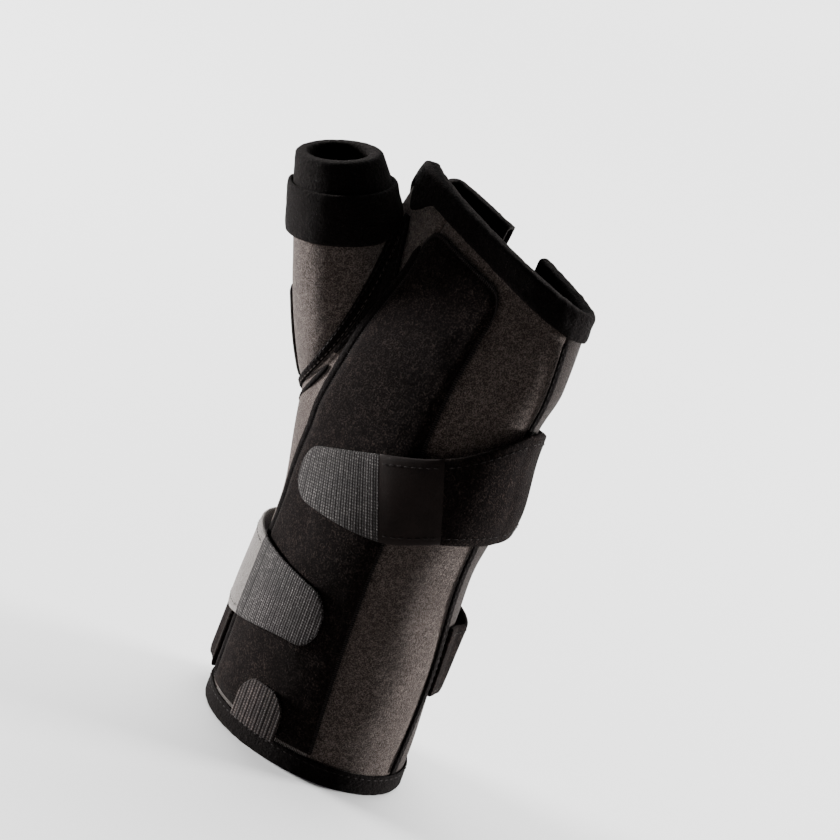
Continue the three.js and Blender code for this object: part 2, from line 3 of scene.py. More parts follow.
import bpy
import numpy as np
from mathutils import Matrix, Vector, noise


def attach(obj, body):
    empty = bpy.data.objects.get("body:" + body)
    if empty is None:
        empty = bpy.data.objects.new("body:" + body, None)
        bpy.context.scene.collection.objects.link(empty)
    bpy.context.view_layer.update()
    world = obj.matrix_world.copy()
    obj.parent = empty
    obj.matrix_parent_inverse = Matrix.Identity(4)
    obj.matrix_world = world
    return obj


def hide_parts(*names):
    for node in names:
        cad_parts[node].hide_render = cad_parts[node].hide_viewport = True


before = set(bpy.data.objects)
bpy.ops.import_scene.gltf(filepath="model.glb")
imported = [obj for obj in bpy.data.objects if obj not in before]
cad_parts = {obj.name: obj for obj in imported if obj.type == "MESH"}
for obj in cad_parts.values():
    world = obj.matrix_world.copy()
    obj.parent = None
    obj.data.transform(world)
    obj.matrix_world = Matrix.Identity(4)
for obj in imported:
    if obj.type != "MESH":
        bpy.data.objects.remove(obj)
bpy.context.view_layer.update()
scene = bpy.context.scene

# ---- The CAD model's shape, in millimetres and degrees ----

HEIGHTS = [0, 45, 90, 125, 160, 195, 235]
CENTRE_X = [0, 0, 0, -2.2, -4.1, -0.8, 2.2]
CENTRE_Y = [0, 0, 0, 1.5, 5, 9, 13]
HALF_WIDTH = [43.5, 42.2, 41.2, 47.5, 51, 45.6, 40.8]
HALF_DEPTH = [31.5, 31.5, 31, 29, 25.5, 21, 18.5]
THUMB_ROOT = np.array([-33.9, 8.6, 102.6])
THUMB_AXIS = np.array([-0.194, -0.2275, 0.954])
THUMB_AXIS = THUMB_AXIS / np.linalg.norm(THUMB_AXIS)
THUMB_SIDE = np.cross(THUMB_AXIS, [0, 1, 0])
THUMB_SIDE = THUMB_SIDE / np.linalg.norm(THUMB_SIDE)
THUMB_FRONT = np.cross(THUMB_AXIS, THUMB_SIDE)
THUMB_PLACES = [0, 40, 82, 109, 122]
THUMB_RADII = [4, 15.5, 18.5, 17.3, 15]
THUMB_BEND = [0, 0, 0, 0.9, 3.2]
THUMB_LENGTH = 122
WEB_FLARE, WEB_SIDE = 6, 238
CENTRED = np.array([13.2, -0.13, 0])

FABRIC, CLEAR, TAPE, STRAP, HOOK_TAB = 3, 0.4, 0.7, 1.8, 1.2
STRAP_LIFT = 3.4
FOLD_MARGIN = 0.5  # how far a fabric edge stays inside the tape folded over it
SEAM_SIDE, HIDDEN_SEAM_SIDE = 0.35, 0.25  # half the gap at a taped seam and at a covered one
FINGER_EDGE, FINGER_SLOPE, WEB_DIP = 212.5, 12.5, 10
OPENING = 12
PALM_SEAM = -20
BACK_ARC = 0.72
SQUEEZE = 3.5
BOTTOM_TAPE_HEIGHT, FINGER_TAPE_HEIGHT, FINGER_TAPE = 8.6, 10.4, 1.1
TAPE_END_GAP = 0.9  # between the end of a lengthwise tape and the binding it runs up to
POCKET_HEIGHTS = [9.5, 48, 97, 121, 130, 153, 186, 206]
POCKET_LEFT = [-48, -49.5, -43.5, -34, -33, -25.5, -21.8, -24]
POCKET_RIGHT = [31, 29, 28.5, 28, 27.5, 26.5, 27.5, 29]
POCKET_TOP_GAP = 13.5  # from the finger edge down to the palm-side pocket
POCKET_CORNER, CORNER_DROP = 0.16, 9  # each top corner's share of the width, and how far it drops


def smoothstep(x, low, high):
    t = np.clip((np.asarray(x, float) - low) / (high - low), 0, 1)
    return t * t * (3 - 2 * t)


def lerp(a, b, t):
    return a + (b - a) * t


def spline(places, values, at):
    p, v, at = np.array(places, float), np.array(values, float), np.asarray(at, float)
    slope = np.gradient(v)
    slope[1:-1] = (v[2:] - v[:-2]) / (p[2:] - p[:-2])
    slope[0], slope[-1] = (v[1] - v[0]) / (p[1] - p[0]), (v[-1] - v[-2]) / (p[-1] - p[-2])
    i = np.searchsorted(p[1:-1], at)
    span = p[i + 1] - p[i]
    t = (at - p[i]) / span
    return (
        lerp(v[i], v[i + 1], t * t * (3 - 2 * t))
        + t * (1 - t) ** 2 * span * slope[i]
        - t * t * (1 - t) * span * slope[i + 1]
    )


def hump(at, middle, half_width):
    away = np.clip(np.abs(np.asarray(at, float) - middle) / half_width, 0, 1)
    return np.cos(away * np.pi / 2) ** 2


def sleeve(theta, z, offset):
    """A point of the surface parallel to the sleeve's outside, in millimetres. Takes arrays."""
    theta, z, offset = np.broadcast_arrays(*(np.asarray(x, float) for x in (theta, z, offset)))
    a = np.radians(theta)
    wide, deep = spline(HEIGHTS, HALF_WIDTH, z), spline(HEIGHTS, HALF_DEPTH, z)
    nx, ny = np.sin(a) / wide, -np.cos(a) / deep
    n = np.hypot(nx, ny)
    off = offset - SQUEEZE * hump(theta, 95, 45) * hump(z, 145, 26)
    x = spline(HEIGHTS, CENTRE_X, z) + wide * np.sin(a) + off * nx / n
    y = spline(HEIGHTS, CENTRE_Y, z) - deep * np.cos(a) + off * ny / n
    return np.stack([x, y, z], axis=-1)


def in_section(points, lift=0.0):
    """Where points lie in the sleeve's section at their height, as shares of its half sizes."""
    x, y, z = np.moveaxis(points, -1, 0)
    wide, deep = spline(HEIGHTS, HALF_WIDTH, z) + lift, spline(HEIGHTS, HALF_DEPTH, z) + lift
    return (x - spline(HEIGHTS, CENTRE_X, z)) / wide, (y - spline(HEIGHTS, CENTRE_Y, z)) / deep


def sleeve_place(points):
    """The angles and heights of points on the sleeve."""
    x, y = in_section(points)
    return np.degrees(np.arctan2(x, -y)), points[..., 2]


def thumb_radius(phi, along):
    flare = WEB_FLARE * hump(np.mod(phi, 360), WEB_SIDE, 70) * (1 - smoothstep(along, 90, 108))
    return spline(THUMB_PLACES, THUMB_RADII, along) + flare


def thumb(phi, along, offset):
    """A point of the surface parallel to the thumb tube's outside, in millimetres. Takes arrays."""
    phi, along, offset = np.broadcast_arrays(*(np.asarray(x, float) for x in (phi, along, offset)))
    a = np.radians(phi)
    radius = thumb_radius(phi, along) + offset
    bend = spline(THUMB_PLACES, THUMB_BEND, along)
    return (
        THUMB_ROOT
        + along[..., None] * THUMB_AXIS
        + (bend + radius * np.cos(a))[..., None] * THUMB_SIDE
        + (radius * np.sin(a))[..., None] * THUMB_FRONT
    )


def thumb_seam(phi, offset=0.0, lift=0.0):
    """Where the thumb tube, or a surface parallel to it, leaves the sleeve: a distance along it."""
    phi = np.asarray(phi, float)

    def inside(along):
        x, y = in_section(thumb(phi, along, offset), lift)
        return x * x + y * y < 1

    low = np.zeros_like(phi)
    for step in range(THUMB_LENGTH, 0, -1):
        low = np.where((low == 0) & inside(np.full_like(phi, step)), step, low)
    high = low + 1
    for _ in range(12):
        middle = (low + high) / 2
        within = inside(middle)
        low, high = np.where(within, middle, low), np.where(within, high, middle)
    return low


def finger_edge(theta):
    turn = np.where(np.asarray(theta, float) > 180, np.asarray(theta, float) - 360, theta)
    slope = FINGER_SLOPE * np.cos(np.radians(turn + 72))
    return FINGER_EDGE + slope - WEB_DIP * hump(turn, -98, 32)


def finger_tape_height(theta):
    palm_side = 2 * (1 - smoothstep(theta, 0, 60))
    return FINGER_TAPE_HEIGHT - palm_side + 7.5 * hump(theta, -47, 18) - 2 * hump(theta, -98, 40)


def palm_side_of_thumb(z):
    """The angle round the sleeve where the palm meets the thumb tube at each height."""
    z = np.asarray(z, float)
    found = np.full(z.shape, -90.0)
    for theta in np.arange(-90, PALM_SEAM, 0.25):
        away = sleeve(theta, z, 0) - THUMB_ROOT
        along = away @ THUMB_AXIS
        side = away @ THUMB_SIDE - spline(THUMB_PLACES, THUMB_BEND, along)
        front = away @ THUMB_FRONT
        phi = np.degrees(np.arctan2(front, side))
        found = np.where(np.hypot(side, front) < thumb_radius(phi, along), theta, found)
    return found


def little_finger_seam(z):
    return spline([0, 50, 90, 130, 165, 190, 210], [86, 93, 85.5, 77, 77.5, 74, 66], z)


# ---- Meshes ----


def in_row(points):
    """Millimetres in the sleeve's own frame to metres in the row's frame."""
    return (np.asarray(points, float) + CENTRED) / 1000


def make_object(name, points, faces, cloth=None):
    mesh = bpy.data.meshes.new(name)
    mesh.from_pydata(points.tolist(), [], faces)
    mesh.polygons.foreach_set("use_smooth", np.ones(len(mesh.polygons), bool))
    if cloth is not None:
        attribute = mesh.attributes.new("cloth", "FLOAT_VECTOR", "POINT")
        attribute.data.foreach_set("vector", np.asarray(cloth, np.float32).ravel())
    mesh.update()
    obj = bpy.data.objects.new(name, mesh)
    scene.collection.objects.link(obj)
    return obj


def pairs(us, vs):
    """The two values of each point of a grid, u from column to column and v from row to row."""
    return np.meshgrid(us, vs, indexing="ij")


def unit_grid(columns, rows):
    return pairs(np.linspace(0, 1, columns), np.linspace(0, 1, rows))


def grid_quads(columns, rows, looped, ringed=False):
    """The vertex numbers of a grid, and its faces as rows of four of them.

    looped closes the grid from its last column to its first one, and ringed does so for rows.
    """
    index = np.arange(columns * rows).reshape(columns, rows)
    i, j = pairs(np.arange(columns - (not looped)), np.arange(rows - (not ringed)))
    i2, j2 = (i + 1) % columns, (j + 1) % rows
    quads = np.stack([index[i, j], index[i2, j], index[i2, j2], index[i, j2]], -1)
    return index, quads.reshape(-1, 4)


def arc_lengths(grid):
    """How far along the cloth each grid point is, across columns and up rows, in millimetres."""
    du = np.linalg.norm(np.diff(grid, axis=0), axis=-1)
    dv = np.linalg.norm(np.diff(grid, axis=1), axis=-1)
    s = np.concatenate([np.zeros((1, grid.shape[1])), np.cumsum(du, axis=0)], axis=0)
    t = np.concatenate([np.zeros((grid.shape[0], 1)), np.cumsum(dv, axis=1)], axis=1)
    return s, t


def path_lengths(path):
    """How far along a path each of its points is."""
    steps = np.linalg.norm(np.diff(path, axis=0), axis=-1)
    return np.concatenate([[0], np.cumsum(steps)])


RIM_ANGLES = (-55, -20, 20, 55)
FLAT_RIM = 0.02


def shell(name, outer, inner, rim, looped=False, inside_slot=False, flat_ends=(False, False)):
    """A closed sheet between two grids, with rounded edges. rim is how far each one bulges, in mm.

    The grids are (columns, rows, 3), and columns, rows and outward are right-handed. flat_ends
    tells which of the first and last columns is a plain cut, where another piece carries on.
    """
    columns, rows = outer.shape[:2]
    index, quads = grid_quads(columns, rows, looped)
    end, top = columns - 1, rows - 1
    if looped:
        borders = [[(i, 0) for i in range(columns)], [(i, top) for i in range(end, -1, -1)]]
    else:
        below, right = [(i, 0) for i in range(end)], [(end, j) for j in range(top)]
        above, left = [(i, top) for i in range(end, 0, -1)], [(0, j) for j in range(top, 0, -1)]
        borders = [below + right + above + left]
    s, t = arc_lengths(outer)
    points = [outer.reshape(-1, 3), inner.reshape(-1, 3)]
    cloth = [np.stack([s, t, np.full_like(s, k)], -1).reshape(-1, 3) for k in (1, 0)]
    faces = quads.tolist() + (quads[:, ::-1] + columns * rows).tolist()
    inner_count = len(quads)
    flat_faces = []
    base = 2 * columns * rows
    for border in borders:
        bi, bj = np.array(border).T
        middle = (outer[bi, bj] + inner[bi, bj]) / 2
        half = (outer[bi, bj] - inner[bi, bj]) / 2
        away = np.zeros_like(middle)
        if not looped:
            away += np.where((bi == 0)[:, None], outer[0, bj] - outer[1, bj], 0)
            away += np.where((bi == end)[:, None], outer[-1, bj] - outer[-2, bj], 0)
        away += unit(np.where((bj == 0)[:, None], outer[bi, 0] - outer[bi, 1], 0))
        away += unit(np.where((bj == top)[:, None], outer[bi, -1] - outer[bi, -2], 0))
        away = unit(away)
        cut = ((bi == 0) & flat_ends[0]) | ((bi == end) & flat_ends[1])
        away[cut] *= FLAT_RIM
        rings = [index[bi, bj] + columns * rows]
        for angle in RIM_ANGLES:
            a = math.radians(angle)
            points.append(middle + half * math.sin(a) + away * rim * math.cos(a))
            cloth.append(np.stack([s[bi, bj], t[bi, bj], np.full(len(bi), 0.5)], -1))
            rings.append(base + np.arange(len(bi)))
            base += len(bi)
        rings.append(index[bi, bj])
        for lower, upper in zip(rings[:-1], rings[1:]):
            next_lower, next_upper = np.roll(lower, -1), np.roll(upper, -1)
            flat_faces.append(len(faces) + np.flatnonzero(cut & np.roll(cut, -1)))
            faces += np.stack([lower, next_lower, next_upper, upper], -1).tolist()
    obj = make_object(name, in_row(np.concatenate(points)), faces, np.concatenate(cloth))
    for face in np.concatenate(flat_faces).tolist():
        obj.data.polygons[face].use_smooth = False
    if inside_slot:
        slots = np.zeros(len(faces), np.int32)
        slots[inner_count : 2 * inner_count] = 1
        obj.data.polygons.foreach_set("material_index", slots)
    return obj


def unit(v):
    return v / np.maximum(np.linalg.norm(v, axis=-1, keepdims=True), 1e-9)


def grid_normals(grid, looped=False):
    if looped:
        du = np.roll(grid, -1, axis=0) - np.roll(grid, 1, axis=0)
    else:
        du = np.gradient(grid, axis=0)
    return unit(np.cross(du, np.gradient(grid, axis=1)))


def tube_of_section(name, sections, looped):
    """A closed body of rings: sections is (steps, ring points, 3).

    Each ring runs anticlockwise seen from its end, and the ends are closed unless the steps
    themselves run round in a loop.
    """
    steps, around = sections.shape[:2]
    index, quads = grid_quads(steps, around, looped, ringed=True)
    faces = quads.tolist()
    if not looped:
        faces += [index[0].tolist(), index[-1][::-1].tolist()]
    along = path_lengths(sections.mean(1))
    ring = np.linalg.norm(np.roll(sections, -1, axis=1) - sections, axis=-1)
    round_it = np.concatenate([np.zeros((steps, 1)), np.cumsum(ring, axis=1)[:, :-1]], axis=1)
    cloth = np.stack([np.broadcast_to(along[:, None], round_it.shape), round_it], -1)
    cloth = np.concatenate([cloth, np.ones((steps, around, 1))], -1)
    return make_object(name, in_row(sections.reshape(-1, 3)), faces, cloth.reshape(-1, 3))


def ripple(points, scale, seed):
    """Smooth noise from -1 to 1 at each point; scale is the size of its bumps in millimetres."""
    flat = np.asarray(points, float).reshape(-1, 3)
    shift = Vector((17.3 * seed, -9.1 * seed, 5.7 * seed))
    values = [noise.noise(Vector(p) / scale + shift) for p in flat.tolist()]
    return np.array(values).reshape(np.asarray(points).shape[:-1])


def with_bumps(face, amount, scale, seed, looped=False):
    """The face with smooth bumps on it, amount high at most."""
    return face + grid_normals(face, looped) * (amount * ripple(face, scale, seed))[..., None]


# ---- Cloth simulation ----

LAST_FRAME = 20
SOFTENING = 24  # how many times the movement is smoothed
CLOTH_SETTINGS = {
    "quality": 5,
    "mass": 0.2,
    "tension_stiffness": 12,
    "compression_stiffness": 12,
    "bending_stiffness": 0.8,
    "use_pressure": True,
    "vertex_group_mass": "pin",
}


def settle(grid, pinned, cap, looped=False, pressure=4.0, grow=0.01):
    """Simulates the outer face of a padded panel as cloth, held where pinned is 1 and blown out.

    Returns how far each grid point moves, in millimetres, at most cap. grow is the spare cloth
    that makes it pucker a little.
    """
    _, quads = grid_quads(*grid.shape[:2], looped)
    rest = in_row(grid.reshape(-1, 3))
    obj = make_object("settling", rest, quads.tolist())
    group = obj.vertex_groups.new(name="pin")
    for weight in np.unique(np.round(pinned, 2)):
        if weight > 0:
            chosen = np.flatnonzero(np.round(pinned, 2).ravel() == weight).tolist()
            group.add(chosen, float(weight), "REPLACE")
    cloth = obj.modifiers.new("cloth", "CLOTH")
    for key, value in CLOTH_SETTINGS.items():
        setattr(cloth.settings, key, value)
    cloth.settings.uniform_pressure_force = pressure
    cloth.settings.shrink_min = -grow
    cloth.settings.effector_weights.gravity = 0
    cloth.point_cache.frame_start, cloth.point_cache.frame_end = 1, LAST_FRAME
    for step in range(1, LAST_FRAME + 1):
        scene.frame_set(step)
    evaluated = obj.evaluated_get(bpy.context.evaluated_depsgraph_get())
    after = np.zeros(len(rest) * 3, np.float32)
    evaluated.data.vertices.foreach_get("co", after)
    moved = (after.reshape(-1, 3).astype(float) - rest).reshape(grid.shape) * 1000
    scene.frame_set(1)
    bpy.data.objects.remove(obj)
    for _ in range(SOFTENING):
        around = moved[2:, 1:-1] + moved[:-2, 1:-1] + moved[1:-1, 2:] + moved[1:-1, :-2]
        moved[1:-1, 1:-1] = 0.4 * moved[1:-1, 1:-1] + 0.15 * around
    far = np.maximum(np.linalg.norm(moved, axis=-1, keepdims=True), 1e-9)
    cap = np.asarray(cap, float)[..., None] if np.ndim(cap) else cap
    return moved / far * cap * np.tanh(far / np.maximum(cap, 1e-6))


# ---- Materials ----


class Nodes:
    """A short way to write a material's nodes."""

    def __init__(self, name):
        self.material = bpy.data.materials.new(name)
        self.material.use_nodes = True
        self.tree = self.material.node_tree
        self.shader = self.tree.nodes["Principled BSDF"]

    def add(self, kind, settings=None, **inputs):
        node = self.tree.nodes.new("ShaderNode" + kind)
        for key, value in (settings or {}).items():
            setattr(node, key, value)
        for key, value in inputs.items():
            self.put(node.inputs[key.replace("_", " ")], value)
        return node

    def put(self, socket, value):
        if isinstance(value, bpy.types.NodeSocket):
            self.tree.links.new(value, socket)
        else:
            socket.default_value = value

    def math(self, operation, a, b=0.0, clamp=False):
        node = self.tree.nodes.new("ShaderNodeMath")
        node.operation, node.use_clamp = operation, clamp
        self.put(node.inputs[0], a)
        self.put(node.inputs[1], b)
        return node.outputs[0]

    def times(self, a, b):
        return self.math("MULTIPLY", a, b)

    def plus(self, a, b):
        return self.math("ADD", a, b)

    def scaled(self, value, by, start):
        """value times by, plus start."""
        return self.plus(self.times(value, by), start)

    def mix(self, factor, a, b):
        node = self.add("Mix", {"data_type": "RGBA"})
        for socket, value in ((0, factor), (6, a), (7, b)):
            self.put(node.inputs[socket], value)
        return node.outputs[2]

    def noise(self, scale, detail=2.0, rough=0.5, vector=None):
        vector = vector or self.place()
        node = self.add("TexNoise", Scale=scale, Detail=detail, Roughness=rough, Vector=vector)
        return node.outputs["Fac"]

    def place(self):
        if not hasattr(self, "_place"):
            self._place = self.add("TexCoord").outputs["Object"]
        return self._place

    def cloth(self):
        if not hasattr(self, "_cloth"):
            attribute = self.add("Attribute", {"attribute_name": "cloth"}).outputs["Vector"]
            self._cloth = self.add("SeparateXYZ", Vector=attribute).outputs
        return self._cloth

    def ramp(self, factor, low, high):
        node = self.add("MapRange", {"interpolation_type": "SMOOTHSTEP"})
        for socket, value in ((0, factor), (1, low), (2, high)):
            self.put(node.inputs[socket], value)
        return node.outputs[0]

    def bump(self, height, strength, distance):
        return self.add("Bump", Strength=strength, Distance=distance, Height=height).outputs["Normal"]

    def shade(self, colour, normal, rough, sheen=0.0, sheen_rough=0.5, tint=(1, 1, 1), level=0.3):
        for key, value in (
            ("Base Color", colour),
            ("Roughness", rough),
            ("Sheen Weight", sheen),
            ("Sheen Roughness", sheen_rough),
            ("Sheen Tint", (*tint, 1)),
            ("Specular IOR Level", level),
            ("Normal", normal),
        ):
            self.put(self.shader.inputs[key], value)
        return self.material


def rgb(r, g, b):
    return (r, g, b, 1)


def speckle(n, fine, coarse, low, high):
    """Fibre ends: fine specks gathered in coarser patches, 0 to 1."""
    small = n.noise(fine, 2.0, 0.65)
    large = n.noise(coarse, 3.0, 0.6)
    return n.ramp(n.plus(n.times(small, 0.72), n.times(large, 0.28)), low, high)


def brushed_fabric(name, dark, light, sheen):
    """Short-napped knit: a dark ground, paler fibre ends in specks, and slow shading of the nap."""
    n = Nodes(name)
    specks = speckle(n, 2000, 600, 0.4, 0.66)
    nap = n.ramp(n.noise(38, 3.0, 0.6), 0.3, 0.72)
    colour = n.mix(n.times(specks, n.scaled(nap, 0.3, 0.7)), dark, light)
    grains = n.ramp(n.noise(2300, 2.0, 0.7), 0.3, 0.7)
    return n.shade(colour, n.bump(grains, 0.8, 0.0004), 0.93, sheen, 0.28, (0.93, 0.87, 0.83), 0.08)


def loop_pile(name, dark, light, sheen):
    """Loop fabric: a near-black ground with small curls that catch the light here and there."""
    n = Nodes(name)
    curls = speckle(n, 1500, 420, 0.46, 0.74)
    patches = n.ramp(n.noise(52, 3.0, 0.6), 0.3, 0.72)
    colour = n.mix(n.times(curls, n.scaled(patches, 0.6, 0.4)), dark, light)
    height = n.plus(curls, n.times(n.noise(3000), 0.6))
    return n.shade(colour, n.bump(height, 0.7, 0.0005), 0.96, sheen, 0.25, (0.8, 0.72, 0.67), 0.02)


RIB_PITCH, BEAD_PITCH = 2.2, 1.1


def wave(n, value, pitch, shift=0.0):
    """0 to 1 and back for every pitch of value."""
    turned = n.scaled(value, 2 * math.pi / pitch, shift)
    return n.scaled(n.math("COSINE", turned), 0.5, 0.5)


def ribbed_weave(name, dark, light):
    """The woven back of a hook tab: fine lines of bead-like threads, some worn darker."""
    n = Nodes(name)
    x, y, _ = n.cloth()
    line_pitch = RIB_PITCH / 2
    line = n.math("FLOOR", n.plus(n.math("DIVIDE", x, line_pitch), 0.5))
    bead = n.math("FLOOR", n.plus(n.math("DIVIDE", y, BEAD_PITCH), 0.5))
    cell = n.add("CombineXYZ", X=line, Y=bead).outputs[0]
    each_bead = n.add("TexWhiteNoise", {"noise_dimensions": "3D"}, Vector=cell).outputs["Value"]
    each_line = n.add("TexWhiteNoise", {"noise_dimensions": "1D"}, W=line).outputs["Value"]
    lines = n.ramp(wave(n, x, line_pitch), 0.1, 0.85)
    beads = n.ramp(wave(n, y, BEAD_PITCH, n.times(each_line, 0.9)), 0.0, 0.8)
    thread = n.times(lines, n.scaled(beads, 0.82, 0.18))
    bright = n.times(thread, n.scaled(each_line, 0.55, 0.4))
    bright = n.times(bright, n.scaled(n.math("POWER", each_bead, 2.2), 1.3, 0.55))
    worn = n.scaled(n.ramp(n.noise(85, 3.0, 0.6), 0.3, 0.72), 0.6, 0.55)
    fuzz = n.times(n.noise(2600, 2.0, 0.7), 0.12)
    colour = n.mix(n.math("ADD", n.times(bright, worn), fuzz, clamp=True), dark, light)
    height = n.plus(thread, n.times(n.noise(2600), 0.3))
    return n.shade(colour, n.bump(height, 0.8, 0.0004), 0.8, level=0.06)


def smooth_webbing(name):
    n = Nodes(name)
    x, y, _ = n.cloth()
    grain = n.noise(1600, 2.0, 0.6)
    slow = n.ramp(n.noise(70, 2.0, 0.6), 0.3, 0.7)
    twill = wave(n, n.plus(x, n.times(y, 0.6)), 0.6)
    colour = n.mix(n.times(grain, slow), rgb(0.0025, 0.0013, 0.001), rgb(0.007, 0.0042, 0.0035))
    height = n.scaled(twill, 0.12, grain)
    return n.shade(colour, n.bump(height, 0.25, 0.0002), 0.78, level=0.06)


def terry(name, light):
    """Fuzzy black binding: coarse curls, a few of them lit."""
    n = Nodes(name)
    curls = n.ramp(n.noise(900, 3.0, 0.7), 0.4, 0.7)
    sparse = n.ramp(n.noise(1700, 1.0), 0.56, 0.75)
    colour = n.mix(n.times(curls, sparse), rgb(0.0013, 0.0008, 0.0007), light)
    height = n.plus(curls, n.times(n.noise(2600), 0.5))
    return n.shade(colour, n.bump(height, 0.8, 0.0006), 0.97, 0.015, 0.25, (0.8, 0.66, 0.6), 0.03)


def lining(name):
    n = Nodes(name)
    knit = n.ramp(n.noise(1300, 2.0, 0.6), 0.35, 0.7)
    slow = n.ramp(n.noise(40, 2.0), 0.3, 0.7)
    colour = n.mix(n.times(knit, slow), rgb(0.008, 0.007, 0.006), rgb(0.035, 0.03, 0.028))
    return n.shade(colour, n.bump(knit, 0.4, 0.0003), 0.94, 0.15, 0.5, (0.8, 0.76, 0.74), 0.1)


def thread_material(name, colour, lighter):
    n = Nodes(name)
    x, _, _ = n.cloth()
    twist = wave(n, x, 0.45)
    tone = n.mix(n.times(twist, n.noise(1800)), colour, lighter)
    return n.shade(tone, n.bump(twist, 0.4, 0.0001), 0.8, level=0.08)


def metal(name):
    n = Nodes(name)
    stretched = n.add("Mapping", Vector=n.place(), Scale=(900, 900, 14)).outputs[0]
    brush = n.noise(1.0, 3.0, 0.6, stretched)
    tone = n.mix(brush, rgb(0.55, 0.56, 0.58), rgb(0.78, 0.79, 0.8))
    n.shader.inputs["Metallic"].default_value = 1.0
    return n.shade(tone, n.bump(brush, 0.15, 0.00005), 0.34)


def milky_plastic(name):
    n = Nodes(name)
    cloud = n.noise(120, 3.0, 0.6)
    tone = n.mix(cloud, rgb(0.6, 0.6, 0.59), rgb(0.8, 0.8, 0.78))
    return n.shade(tone, n.bump(n.noise(600), 0.1, 0.0001), 0.45, level=0.5)


LOOP_GROUND, WEAVE_GROUND = rgb(0.0012, 0.0007, 0.0006), rgb(0.0015, 0.0009, 0.0008)

M = {
    "body": brushed_fabric("body_fabric", rgb(0.0105, 0.0066, 0.0053), rgb(0.068, 0.054, 0.048), 0.1),
    # back: the body fabric darkened and given less sheen, as painted shade that keeps the little-finger
    # side panel dark where the right strip light still reaches it
    "back": brushed_fabric("body_fabric_painted_shade", rgb(0.006, 0.0042, 0.0037), rgb(0.023, 0.0175, 0.0155), 0.04),
    "brushed": brushed_fabric("brushed_strap_fabric", rgb(0.045, 0.04, 0.037), rgb(0.12, 0.11, 0.104), 0.4),
    "lining": lining("lining_fabric"),
    "loop": loop_pile("loop_fabric", LOOP_GROUND, rgb(0.02, 0.0145, 0.0125), 0.015),
    "strap": loop_pile("strap_loop_fabric", LOOP_GROUND, rgb(0.019, 0.0133, 0.0113), 0.015),
    "smooth": smooth_webbing("smooth_webbing"),
    "tab": ribbed_weave("woven_tab", WEAVE_GROUND, rgb(0.05, 0.045, 0.043)),
    "dim_tab": ribbed_weave("woven_tab_dim", WEAVE_GROUND, rgb(0.036, 0.027, 0.024)),
    "terry": terry("terry_binding", rgb(0.0095, 0.0068, 0.006)),
    "tape": terry("seam_tape", rgb(0.0085, 0.006, 0.0053)),
    "black_thread": thread_material("black_thread", rgb(0.003, 0.002, 0.0018), rgb(0.014, 0.011, 0.01)),
    "dim_thread": thread_material("dim_thread", rgb(0.014, 0.01, 0.009), rgb(0.05, 0.042, 0.038)),
    "grey_thread": thread_material("grey_thread", rgb(0.05, 0.043, 0.04), rgb(0.16, 0.145, 0.135)),
    "aluminium": metal("stay_aluminium"),
    "plastic": milky_plastic("stay_plastic"),
}


def place_piece(obj, body, materials, nodes=()):
    """Gives a piece its materials, its body and the CAD nodes it stands for."""
    for m in materials if isinstance(materials, list) else [materials]:
        obj.data.materials.append(M[m])
    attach(obj, body)
    if nodes:
        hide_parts(*nodes)
    return obj


def sheet_piece(name, outer, inner, rim, slot, materials, body="sleeve", **shape):
    """A closed sheet between two faces, which stands for the CAD node of the same name."""
    obj = shell(name, outer, inner, rim, **shape)
    return place_piece(obj, body, materials, [name])


# ---- Stitches ----

STITCH_SIDES = 6
STITCH_PITCH, STITCH_GAP = 2.6, 0.3  # length of a stitch, and the share of it left open
OVERLOCK_SLANT = 0.35
# One thread's rings: their place along it, width and rise, as shares of its length and radius.
STITCH_SHAPE = (
    (-0.5, 0.35, -0.6),
    (-0.34, 0.9, 0.0),
    (0.0, 1.0, 0.25),
    (0.34, 0.9, 0.0),
    (0.5, 0.35, -0.6),
)


def thread_run(name, starts, ends, ups, radius, body, material):
    """Many short threads in one piece. Each runs from a start to an end and rises between."""
    starts, ends, ups = (np.asarray(x, float) for x in (starts, ends, ups))
    middle, along = (starts + ends) / 2, ends - starts
    forward = unit(along)
    side = unit(np.cross(forward, ups))
    up = np.cross(side, forward)
    rings = []
    for place, width, rise in STITCH_SHAPE:
        centre = middle + along * place + up * (radius * rise)
        for k in range(STITCH_SIDES):
            a = 2 * math.pi * k / STITCH_SIDES
            rings.append(centre + radius * width * (side * math.cos(a) + up * math.sin(a)))
    points = np.stack(rings, axis=1)
    count, each = len(points), len(STITCH_SHAPE) * STITCH_SIDES
    faces = []
    last = each - STITCH_SIDES
    for n in range(count):
        base = n * each
        for r in range(len(STITCH_SHAPE) - 1):
            for k in range(STITCH_SIDES):
                a, b = base + r * STITCH_SIDES, base + (r + 1) * STITCH_SIDES
                k2 = (k + 1) % STITCH_SIDES
                faces.append((a + k, a + k2, b + k2, b + k))
        faces.append(tuple(base + k for k in range(STITCH_SIDES))[::-1])
        faces.append(tuple(base + last + k for k in range(STITCH_SIDES)))
    length = np.linalg.norm(along, axis=-1)
    share = np.repeat([s[0] for s in STITCH_SHAPE], STITCH_SIDES)
    cloth = np.zeros((count, each, 3))
    cloth[..., 0] = share[None] * length[:, None]
    obj = make_object(name, in_row(points.reshape(-1, 3)), faces, cloth.reshape(-1, 3))
    place_piece(obj, body, material)


def running_stitch(name, surface, path, lift, radius=0.2, pitch=STITCH_PITCH, body="sleeve",
                   material="black_thread"):
    """Stitches end to end along a path on a surface. surface(p, q, lift) is a point of it."""
    fine = surface(*path, lift)
    up = surface(*path, lift + 1) - fine
    along = path_lengths(fine)
    at = np.linspace(0, along[-1], max(int(along[-1] / pitch), 1) + 1)
    points, ups = (
        np.stack([np.interp(at, along, values[:, k]) for k in range(3)], axis=-1)
        for values in (fine, up)
    )
    starts = lerp(points[:-1], points[1:], STITCH_GAP / 2)
    ends = lerp(points[:-1], points[1:], 1 - STITCH_GAP / 2)
    thread_run(name, starts, ends, ups[:-1], radius, body, material)


